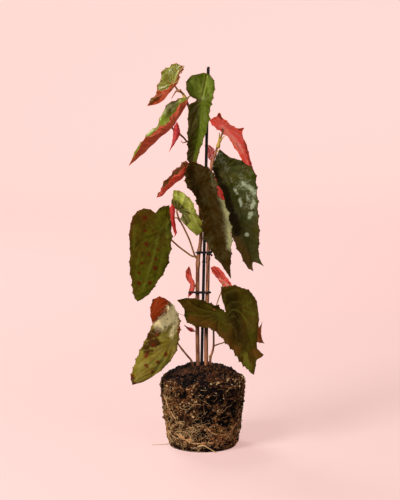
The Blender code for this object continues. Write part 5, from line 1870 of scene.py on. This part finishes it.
    def grains(self, name: str, spots: Array, sizes: Array, tones: Array, chance: Chance) -> Piece:
        """Irregular grains gathered in one mesh, each stretched and turned its own way.

        Args:
            name: the piece's name.
            spots: an array (n, 3) of their middles.
            sizes: an array (n,) of their radii.
            tones: an array (n,) of their tones from 0 to 1.
            chance: the seeded source of shapes.

        Returns:
            The piece, with each grain's tone in its layer named kind.
        """
        corners, faces = self.grain_shape()
        count = len(spots)
        basis, _ = np.linalg.qr(chance.normal(size=(count, 3, 3)))
        basis[np.linalg.det(basis) < 0, :, 0] *= -1
        stretch = chance.uniform(0.6, 1.25, (count, 1, 3))
        dents = chance.uniform(0.75, 1.2, (count, len(corners), 1))
        local = corners[None] * stretch * dents * sizes[:, None, None]
        points = np.einsum("nij,nkj->nki", basis, local) + spots[:, None]
        points[..., 2] = np.maximum(points[..., 2], 0.0002)
        triangles = (faces[None] + np.arange(count)[:, None, None] * len(corners)).reshape(-1, 3)
        piece = build_mesh(name, points.reshape(-1, 3), np.zeros((0, 4), int), triangles)
        mark_points(piece, kind=tones.repeat(len(corners)))
        return piece

    @staticmethod
    def strew(flat: Array, away: Array, count: int, chance: Chance, low: float) -> Array:
        """Random places on the block, evenly by area.

        Args:
            flat: the block's points (n, 3).
            away: the outward directions there.
            count: how many places are drawn.
            chance: the seeded source.
            low: the height in metres that every place is above.

        Returns:
            An array (count, 3) in metres.
        """
        weight = np.hypot(flat[:, 0], flat[:, 1]) * (flat[:, 2] > low)
        picked = chance.choice(len(flat), count, p=weight / weight.sum())
        return flat[picked] + away[picked] * 0.0001

    def at_places(self, flat: Array, away: Array) -> Array:
        """The points of the block's near side that are seen nearest to the perlite's places.

        Args:
            flat: the block's points (n, 3).
            away: the outward directions there.

        Returns:
            One point for each place.
        """
        flat = flat[np.einsum("ij,ij->i", FrontView.eye - flat, away) > 0]
        gap = FrontView.seen_at(flat)[None] - np.array(self.perlite_places, float)[:, None]
        return flat[np.linalg.norm(gap, axis=-1).argmin(1)]

    def side_root(self, turn: Array, height: Array, lift: float) -> Array:
        """A path that follows the side.

        Args:
            turn: turns about the upright axis, one for each point.
            height: the points' heights in metres.
            lift: how far it lies off the side, in metres.

        Returns:
            An array (n, 3) in metres.
        """
        out = self.radius_at(height) + lift
        out = out + 0.0010 * lumps(np.stack([out * np.cos(turn), out * np.sin(turn), height], -1), 0.009, 1)
        return np.stack([out * np.cos(turn), out * np.sin(turn), height], -1)

    def thick(self) -> Tubes:
        """The thick roots of the plain model, and the two loose ones.

        Returns:
            The roots' bars.
        """
        tubes = Tubes(8)
        for number, (start, end, low, high) in enumerate(self.thick_roots):
            share = np.linspace(0, 1, 40)
            height = low + (high - low) * share + 0.003 * np.sin(7 * share + number)
            path = self.side_root(start + (end - start) * share, height, 0.0004)
            path = path * (1 - 0.045 * (2 * share[:, None] - 1) ** 8 * np.array([1, 1, 0]))
            girth = 0.0008 * (1 - 0.3 * share) * (1 + 0.1 * np.sin(31 * share))
            tubes.add(path, girth, kind=0.35 + 0.06 * number)
        for points, radius in zip(self.loose_roots, self.loose_radii):
            share = np.linspace(0, 1, 48)
            path = curve_through(np.array(points), share * (len(points) - 1))
            girth = radius * (1 - 0.45 * share)
            path[:, 2] = np.maximum(path[:, 2], girth + 0.0001)
            tubes.add(path, girth, kind=0.1)
        return tubes

    def mat(self, chance: Chance) -> Tubes:
        """Hundreds of thin roots that wander over the side, most of them on the left and round the foot.

        Args:
            chance: the seeded source.

        Returns:
            The roots' bars.
        """
        tubes = Tubes(4)
        for _ in range(self.root_count):
            zone = chance.uniform()
            if zone < 0.36:
                turn, height = chance.normal(self.left_turn, 0.42), chance.uniform(0.006, 0.074)
            elif zone < 0.86:
                turn = chance.uniform(-HALF_TURN, HALF_TURN)
                height = abs(chance.normal(0.012, 0.012)) + 0.004
            else:
                turn, height = chance.uniform(-HALF_TURN, HALF_TURN), chance.uniform(0.02, 0.082)
            points = int(chance.integers(12, 26))
            heading = chance.choice((0.0, HALF_TURN)) + chance.normal(0, 1.0)
            bends = heading + np.cumsum(chance.normal(0, 0.22, points))
            turns = turn + np.cumsum(np.cos(bends)) * self.root_step / 0.048
            heights = np.clip(height + np.cumsum(np.sin(bends)) * self.root_step * 0.8, 0.0012, 0.083)
            path = self.side_root(turns, heights, chance.uniform(-0.0001, 0.0007))
            right = float(ramp(path[:, 0].mean(), -0.005, 0.02))
            kind = np.clip(0.15 + 0.65 * right + chance.normal(0, 0.15), 0, 1)
            girth = 0.00012 + 0.00026 * chance.uniform() ** 2
            tubes.add(path, girth * (1 - 0.5 * np.linspace(0, 1, points)), kind=float(kind))
        return tubes

    def clods(self, flat: Array, away: Array, chance: Chance) -> Piece:
        """The crumbs that stick out of the block: most of them small and dark, brighter among roots, darker
        in the painted shade and on the top, lighter along the top's rim.

        Args:
            flat: the block's points (n, 3).
            away: the outward directions there.
            chance: the seeded source.

        Returns:
            The piece, with each crumb's tone in its layer named kind.
        """
        count = self.clod_count
        places = self.strew(flat, away, count, chance, 0.002)
        tones = chance.uniform(0, 1, count) ** 2.4 + 0.3 * self.tan_share(places)
        tones = np.where(chance.uniform(0, 1, count) < 0.14, 0.55 + tones, tones)
        # Crumbs in the painted shade and on the top are darker; those along the light strokes are lighter,
        # tan crumbs with painted highlight.
        top = ramp(places[:, 2], 0.087, 0.093)
        tones = tones * (1 - 0.65 * top) * (1 - 0.75 * self.shade_and_dark_share(places))
        light = self.stroked(places, self.light_strokes, lumps(places, 0.004, 15), 1.2)
        sizes = 0.00035 + 0.0013 * chance.uniform(0, 1, count) ** 2.6
        return self.grains("peat_clods", places, sizes, np.clip(tones + 0.45 * light, 0, 1), chance)

    def build(self, effects: Effects) -> list[Piece]:
        """Every piece of the block, dressed.

        Args:
            effects: the shared effects.

        Returns:
            The block, its white grains, its crumbs, and its thick and thin roots.
        """
        chance = np.random.default_rng(self.seed)
        block, points, outward = self.block(effects)
        flat, away = points.reshape(-1, 3), outward.reshape(-1, 3)
        named = self.at_places(flat, away)
        spots = np.concatenate([named, self.strew(flat, away, self.grain_count, chance, 0.010)])
        ranges = ((*self.named_grain_range, len(named)), (*self.grain_range, self.grain_count))
        sizes = np.concatenate([chance.uniform(*given) for given in ranges])
        perlite = self.grains("perlite_grains", spots, sizes, chance.uniform(0, 1, len(spots)), chance)
        clods = self.clods(flat, away, chance)
        thick = self.thick().build("thick_roots")
        mat = self.mat(chance).build("thin_roots")
        for piece, finish in ((perlite, PERLITE), (clods, CLODS), (thick, ROOT_SKIN), (mat, ROOT_SKIN)):
            finish.dress(piece, effects)
            hand_over(piece)
        return [hand_over(block, "root_ball"), perlite, clods, thick, mat]


@dataclass(frozen=True)
class Stem:
    """A cane: its spots from the soil up, its nodes along it from 0 to 1, and its radii at soil and top."""

    spots: tuple
    nodes: tuple = ()
    radius: float = 0.00225
    top_radius: float = 0.0011

    fullness = 1.16

    def path(self) -> tuple[Array, Array]:
        """The cane's path and radii: swollen at each node, with a thin ring above it.

        Returns:
            An array (n, 3) of points in metres, and their radii.
        """
        cage = FrontView.world(self.spots)
        at = np.linspace(0, 1, 14 * len(cage))
        foot = self.fullness * self.radius
        radii = foot + (self.top_radius - foot) * at**1.9
        for node in self.nodes:
            radii = radii * (1 + 0.20 * bell(at - node, 0.010) + 0.10 * bell(at - node - 0.006, 0.003))
        return curve_through(cage, at * (len(cage) - 1)), radii


@dataclass(frozen=True)
class Stalk:
    """A leaf stalk or a small side growth: the cane it grows from, its spots, and the leaf that it holds.

    youth is its share of the young, yellow-green colour.
    """

    stem: str
    spots: tuple
    leaf: str = ""
    radius: float = 0.0009
    tip_radius: float = 0.0
    youth: float = 0.15

    fullness = 1.22
    seat_depth = 0.0009
    flare = 0.35
    probe = np.array([-0.01, 0.0, 0.01])

    def path(self, blades: dict[str, Blade]) -> tuple[Array, Array]:
        """The stalk's path and radii: flared at its foot, and widened where it meets the leaf's underside.

        Args:
            blades: the leaves by name.

        Returns:
            An array (n, 3) of points in metres, and their radii.
        """
        cage = FrontView.world(self.spots)
        if self.leaf:
            blade = blades[self.leaf]
            u, v = blade.attach
            patch = blade.sheet(u + self.probe, v + self.probe, fine=False)
            under = -blade.upper * unit(np.cross(patch[2, 1] - patch[0, 1], patch[1, 2] - patch[1, 0]))
            seat = patch[1, 1] + under * self.seat_depth
            cage = np.concatenate([cage, [seat + under * 0.003, seat]])
        count = 10 * len(cage)
        path = curve_through(cage, np.linspace(0, len(cage) - 1, count))
        radii = np.linspace(self.radius, self.tip_radius or self.radius, count)
        run = np.concatenate([[0], np.cumsum(np.linalg.norm(np.diff(path, axis=0), axis=-1))])
        foot = bell(run, 0.004) * (self.radius > 0.0005)
        head = bell(run[-1] - run, 0.0016) * bool(self.leaf)
        return path, self.fullness * radii * (1 + self.flare * (foot + head))


STEMS = {
    "cane_left": Stem(
        (
            (198.2, 378, 1), (198, 366, 1.5), (197.4, 330, 1.5), (197.5, 290, 1.5), (198, 262, 1.2),
            (200, 246, 1.8), (201, 236, 3), (200.5, 215, 4), (198.5, 190, 4.5), (196, 165, 4.5),
            (192.5, 135, 3.5), (190, 112, 2.5), (186.5, 101, 1), (184, 95.5, 0),
        ),
        (0.2, 0.3, 0.36, 0.62, 0.78, 0.9),
    ),
    "cane_right": Stem(
        (
            (206.4, 378, 1), (206.2, 366, 1), (206.2, 330, 1), (207.5, 290, 1), (208, 262, 1),
            (208.4, 246, 1), (209.3, 220, 2), (210, 195, 2.5), (211.2, 168, 2), (215, 155, 1.5),
            (218, 145, 1), (219.5, 139, 1),
        ),
        (0.22, 0.38, 0.5, 0.68, 0.82, 0.92),
    ),
    "side_shoot": Stem(
        (
            (210.2, 374, 0), (210.2, 363, 0), (210.6, 357, 0), (212.3, 352, -0.5), (213.6, 345, -1),
            (213.6, 331, -3), (213.8, 320, -4.5),
        ),
        (0.3, 0.55), 0.0014, 0.0009,
    ),
    "petiole_low_left": Stem(
        ((194, 370, -2), (191.5, 361, -4), (188, 356.5, -7), (183, 350.5, -11), (178.5, 344.5, -14)),
        (), 0.0012, 0.0009,
    ),
}

on_left, on_right, on_shoot, on_lone = (partial(Stalk, stem) for stem in STEMS)

# The stalks that hold a leaf, and then the small growths that hold none: a bract, stipules and buds.
STALKS = (
    on_left(((186, 99, 1), (181, 92, 0), (177.5, 89.5, 1)), "leaf_01_crown_left", youth=0.5),
    on_left(
        ((193, 145, 3.7), (187, 141.5, 0), (184, 138, -4), (180, 134, -9), (176.5, 129, -10.5)),
        "leaf_02_upper_left_long",
    ),
    on_left(((190, 112, 2.5), (195, 107, 1), (199, 104, 0)), "leaf_03_top_centre"),
    on_left(((184, 138, -4), (182.5, 137, -7), (180.5, 135.5, -11)), "leaf_04_young_pink_upper", 0.0006),
    on_right(((218.7, 142, 1), (221, 137, 4), (222.3, 133.5, 8)), "leaf_05_upper_right_red"),
    on_right(((210.8, 172, 2), (210.3, 170.5, 7), (212, 169, 13), (217, 168, 16)), "leaf_06_right_large"),
    on_left(((197.3, 177, 4.5), (197.5, 179, 0), (198, 180.5, -5)), "leaf_07_centre_large"),
    on_left(((196, 165, 4.5), (193, 169, 1), (190.5, 171.5, -3)), "leaf_08_mid_left_folded", 0.0007),
    on_left(
        (
            (198.3, 260, 1.2), (195.3, 256.5, -1), (193.2, 251, -4), (189.5, 240, -8), (184.2, 228.5, -13),
            (180.8, 222, -16), (178.2, 216.5, -15),
        ),
        "leaf_09_light_green_twisted", youth=0.3,
    ),
    on_left(((181, 222.4, -15.8), (179.5, 221, -20), (178, 219, -24)), "leaf_10_curled_red", 0.0006),
    on_left(
        (
            (198.3, 257, 1.2), (192, 256, -1), (186, 252, -3), (178, 246, -6), (171, 239.5, -8),
            (165, 234, -10),
        ),
        "leaf_11_left_spotted", youth=0.3,
    ),
    on_lone(((183, 350.5, -11), (178.5, 344.5, -14), (176, 341, -14.5)), "leaf_12_low_left_spotted"),
    on_shoot(((213.6, 331, -3), (213.8, 320, -4.5), (214.3, 314, -5)), "leaf_13_low_right_large"),
    on_shoot(
        ((213.8, 322, -4.3), (214.6, 314, -2), (216.3, 306, 0), (218.8, 298, 3), (221.5, 291, 6)),
        "leaf_14_low_right_pink", 0.0006,
    ),
    on_left(((197.5, 288, 1.5), (196, 286.5, 3), (194.5, 285, 2)), "leaf_15_low_left_pink", 0.0007),
    on_left(((197.5, 333, 1.5), (195.5, 331.5, 3), (194, 331, 4)), "leaf_16_low_young_tip", 0.0006),
    on_right(((211.8, 166, 1.8), (210.6, 165.5, 6)), "leaf_17_back_upper", 0.0007),
    on_right(((211, 173, 2.2), (211.5, 175, 9), (213.5, 178.5, 16)), "leaf_18_back_mid", 0.0008),
    on_shoot(((213.4, 346, -1), (219, 344, 0), (224, 342.3, 1)), "leaf_19_right_curled", 0.0007),
    on_left(((197.4, 319, 1.5), (190, 317.5, 1), (184, 315.5, 0), (180.2, 314.3, -1)), "", 0.0004, 0.0003),
    on_left(((184.5, 96.5, 0.5), (182, 93, -2), (179, 90.5, -3)), "", 0.0012, 0.0022, 0.4),
    on_left(((179.5, 90.8, -3), (176, 91.5, -4), (171.5, 98.5, -6)), "", 0.0023, 0.0004, 0.1),
    on_left(((185.5, 101, 1), (188, 97.5, 3), (191, 95.5, 6)), "", 0.0024, 0.0007, 0.85),
    on_left(((184.8, 98, 0), (183.2, 94, 0), (181, 91, 0)), "", 0.0028, 0.0008, 0.85),
    on_left(((187, 141.5, 0), (183, 142.8, 2), (181, 140.5, 3)), "", 0.0010, 0.0004, 0.85),
    on_right(((218.2, 146, 1), (219.3, 140, 0), (219.6, 133, -1)), "", 0.0028, 0.0009, 0.85),
    on_right(((219.4, 142, 1), (222, 138.5, -2), (225, 135.5, -4)), "", 0.0019, 0.0005, 0.85),
    on_right(((216.4, 152, 1.3), (218.5, 151, 0), (220, 148.5, 0)), "", 0.0010, 0.0004, 0.85),
    on_shoot(((210.6, 358, 0), (209.6, 357, -1), (209.3, 356, -2)), "", 0.0013, 0.0009, 0.85),
)


@dataclass
class Canes:
    """The canes with their leaf stalks, stipules and buds, one piece for each plain cane."""

    sides: int = 20
    stalk_sides: int = 14
    bud_squash: float = 0.6

    def build(self, effects: Effects) -> list[Piece]:
        """Carries a ring along every cane and stalk, and gathers each cane's own bars in one mesh.

        Args:
            effects: the shared effects.

        Returns:
            The canes' pieces.
        """
        blades = {blade.name: blade for blade in BLADES}
        pieces = []
        for name, stem in STEMS.items():
            tubes = Tubes(self.sides)
            tubes.add(*stem.path())
            tubes.sides = self.stalk_sides
            for stalk in STALKS:
                if stalk.stem == name:
                    squash = 1.0 if stalk.leaf else self.bud_squash
                    tubes.add(*stalk.path(blades), kind=stalk.youth, squash=squash)
            piece = tubes.build(name + "_fine")
            GREEN_WOOD.dress(piece, effects)
            pieces.append(hand_over(piece, name))
        return pieces


@dataclass
class Support:
    """The black stake with its rounded tip, and the wire ties that hold the canes to it.

    A tie is given by the height that its loop is seen at, the loop's ends in the view, and its tails' spots.
    """

    foot: tuple = (201.2, 384.0, 0)
    tip: tuple = (208.3, 66.5, 0)
    radius: float = 0.0019
    wire: float = 0.0009
    thin_wire: float = 0.0004
    tail_end: float = 0.0014
    middle: float = 0.8
    half_width: float = 0.0040
    ring_level: float = 262
    upper_tie: tuple = (
        252.5, 199.1, 208.3,
        ((200.5, 252.5, -3.2), (199.2, 252.4, -4.0), (198.2, 252.3, -4.6)),
        ((207.5, 252.5, -3.2), (210, 251.9, -4.2), (212.2, 250.8, -4.6)),
        ((207.2, 252.5, -3.2), (209.8, 253.8, -4.2), (211.8, 255.4, -4.6)),
    )
    lower_tie: tuple = (
        292.5, 197.5, 207.5,
        ((200, 292.5, -3.2), (195.5, 292.3, -4.4), (189, 292.6, -5)),
        ((207, 292.5, -3.2), (209.3, 292, -4.4)),
    )

    def stake(self) -> Tubes:
        """The stake: a round bar whose girth swells by a hair in slow waves, as a moulded one does.

        Returns:
            The stake's bar.
        """
        low, high = FrontView.world([self.foot, self.tip])
        share = np.linspace(0, 1, 120)
        path = low + (high - unit(high - low) * 0.0013 - low) * share[:, None]
        tubes = Tubes(28)
        tubes.add(path, self.radius * (1 + 0.012 * np.sin(90 * share)))
        return tubes

    def tie(self, level: float, left: float, right: float, *tails: tuple) -> Tubes:
        """A wire loop round the canes and the stake, with its twisted tails.

        Args:
            level: how far down the loop is seen.
            left: its left end in the view.
            right: its right end.
            tails: each tail's spots.

        Returns:
            The loop and its tails.
        """
        ends = FrontView.world([(left, level, self.middle), (right, level, self.middle)])
        reach = self.half_width * level_ring(np.linspace(-HALF_TURN / 2, HALF_TURN / 2, 24))
        loop = np.concatenate([ends[1] + reach, ends[0] - reach, ends[1] + reach[:2]])
        tubes = Tubes(12)
        tubes.add(loop, np.full(len(loop), self.wire))
        for number, tail in enumerate(tails):
            share = np.linspace(0, 1, 26)
            path = curve_through(FrontView.world(tail), share * (len(tail) - 1))
            radii = np.linspace(self.wire, self.tail_end, 26) * (1 + 0.16 * np.sin(26 * share + number))
            tubes.add(path, radii)
        return tubes

    def thin_ring(self) -> Tubes:
        """The thin ring on the stake.

        Returns:
            The ring's bar.
        """
        low, high = FrontView.world([self.foot, self.tip])
        level = FrontView.world([(204, self.ring_level, 0)])[0, 2]
        centre = low + (high - low) * (level - low[2]) / (high[2] - low[2])
        path = centre + (self.radius + 0.0008) * level_ring(np.linspace(0, FULL_TURN, 49))
        tubes = Tubes(8)
        tubes.add(path, np.full(len(path), self.thin_wire))
        return tubes

    def build(self, effects: Effects) -> list[Piece]:
        """The ties and the stake, dressed.

        Args:
            effects: the shared effects.

        Returns:
            Their pieces.
        """
        parts = (
            ("tie_upper", "tie", TIE_BLACK, self.tie(*self.upper_tie)),
            ("tie_lower", "tie", TIE_BLACK, self.tie(*self.lower_tie)),
            ("tie_thin", "tie", TIE_BLACK, self.thin_ring()),
            ("stake", "stake", STAKE_BLACK, self.stake()),
        )
        pieces = []
        for name, slot, finish, tubes in parts:
            piece = tubes.build(name + "_fine")
            finish.dress(piece, effects)
            pieces.append(hand_over(piece, name))
        return pieces


@dataclass(frozen=True)
class PaperFinish(Finish):
    """Pale paper that glows a little, more on the wall than on the floor, so that it stays even."""

    base: Colour
    glow_tint: Colour
    base_share: float
    unevenness: float
    floor_glow: float
    wall_glow: float
    floor_ends: float
    wall_starts: float

    def colour(self, paint: Paint, effects: Effects) -> None:
        """Builds the nodes: a faint cloudiness, and the glow by the distance behind the plant.

        Args:
            paint: the material's paint.
            effects: the shared effects, not used.
        """
        place = paint.place()
        tint = paint.mix(paint.times(paint.noise(place, 3.0), self.unevenness), self.base, BLACK)
        rise = paint.node("SeparateXYZ")
        paint.feed(rise.inputs[0], place)
        glow = paint.reach(rise.outputs["Y"], self.floor_ends, self.wall_starts, self.floor_glow, 1.0)
        inputs = paint.shader.inputs
        paint.feed(inputs["Base Color"], paint.mix(1.0 - self.base_share, tint, BLACK))
        paint.feed(inputs["Emission Color"], paint.mix(glow, BLACK, self.glow_tint))
        paint.fix(Emission_Strength=self.wall_glow, Roughness=0.9, Specular_IOR_Level=0.1)


PAPER = PaperFinish("pale_paper", (253, 236, 232), (255, 203, 197), 0.40, 0.015, 0.606, 1.04, 0.1, 3.3)


@dataclass
class Studio:
    """A seamless pale floor and backdrop, soft light from high on the left, and the camera.

    A lamp is given by its place, its sides in metres, its watts and its tint.
    """

    front_edge: float = -12.0
    bend_starts: float = 2.2
    bend_radius: float = 1.2
    wall_top: float = 5.0
    half_width: float = 6.0
    aim: tuple = (0.0, 0.0, 0.25)
    lamps: tuple = (
        ("key", (-1.25, -1.25, 1.55), (0.75, 0.75), 40.0, (1.0, 0.97, 0.93)),
        ("fill", (1.6, -1.9, 1.1), (1.8, 1.4), 17.0, (1.0, 0.96, 0.95)),
        ("back", (-0.75, 1.25, 1.75), (0.8, 0.8), 22.0, (1.0, 0.97, 0.93)),
    )
    sky: float = 0.10
    sky_tint: tuple = (1.0, 0.93, 0.91, 1.0)
    sensor: float = 36.0
    view_height: float = 500.0

    def backdrop(self, effects: Effects) -> None:
        """A wide sweep: floor, a quarter round and a wall, the same profile carried from left to right.

        Args:
            effects: the shared effects.
        """
        turns = np.linspace(0, HALF_TURN / 2, 24)
        deep = self.bend_starts + self.bend_radius * np.sin(turns)
        high = self.bend_radius * (1 - np.cos(turns))
        deep = np.concatenate([[self.front_edge], deep, deep[-1:]])
        high = np.concatenate([[0.0], high, [self.wall_top]])
        across = np.linspace(-self.half_width, self.half_width, 9)[:, None] + 0 * deep
        points = np.stack([across, deep + 0 * across, high + 0 * across], -1)
        length = len(deep)
        row, col = np.meshgrid(np.arange(8), np.arange(length - 1), indexing="ij")
        here = row * length + col
        quads = np.stack([here, here + length, here + length + 1, here + 1], -1)
        piece = build_mesh("backdrop", points.reshape(-1, 3), quads.reshape(-1, 4))
        PAPER.dress(piece, effects)
        piece.visible_diffuse = False
        piece.visible_glossy = False

    def lamp(self, name: str, at: tuple, size: tuple, watts: float, tint: tuple) -> None:
        """A soft rectangular lamp that faces the plant's middle.

        Args:
            name: the lamp's name.
            at: its place in metres.
            size: its two sides in metres.
            watts: its power.
            tint: its colour.
        """
        light = bpy.data.lights.new(name, "AREA")
        light.shape = "RECTANGLE"
        light.size, light.size_y = size
        light.energy = watts
        light.color = tint
        lamp = bpy.data.objects.new(name, light)
        bpy.context.scene.collection.objects.link(lamp)
        lamp.location = at
        aim = np.array(self.aim) - np.array(at)
        turn = math.atan2(aim[1], aim[0]) - HALF_TURN / 2
        lamp.rotation_euler = (math.acos(-aim[2] / np.linalg.norm(aim)), 0, turn)

    def camera(self) -> None:
        """The camera at the front view's eye."""
        lens = bpy.data.cameras.new("camera")
        lens.sensor_width = self.sensor
        lens.lens = FrontView.scale * self.sensor / self.view_height
        camera = bpy.data.objects.new("camera", lens)
        camera.location = tuple(FrontView.eye)
        camera.rotation_euler = (HALF_TURN / 2 - FrontView.tilt, 0, 0)
        bpy.context.scene.collection.objects.link(camera)
        bpy.context.scene.camera = camera

    def build(self, effects: Effects) -> None:
        """Sets up the backdrop, the lamps, the even light and the camera.

        Args:
            effects: the shared effects.
        """
        self.backdrop(effects)
        for given in self.lamps:
            self.lamp(*given)
        world = bpy.data.worlds.new("even_light")
        world.use_nodes = True
        back = world.node_tree.nodes["Background"].inputs
        back["Color"].default_value = self.sky_tint
        back["Strength"].default_value = self.sky
        bpy.context.scene.world = world
        bpy.context.scene.view_settings.view_transform = "Standard"
        self.camera()


def main() -> None:
    """Builds the studio and every piece of the plant in order, and reports each one."""
    logging.basicConfig(level=logging.INFO, format="%(message)s")
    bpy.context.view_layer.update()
    effects = Effects()
    Studio().build(effects)
    for piece in RootBall().build(effects) + Canes().build(effects) + Support().build(effects):
        log.info("%s: %d points", piece.name, len(piece.data.vertices))
    for blade in BLADES:
        blade.build(effects)
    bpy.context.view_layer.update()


if __name__ == "__main__":
    main()
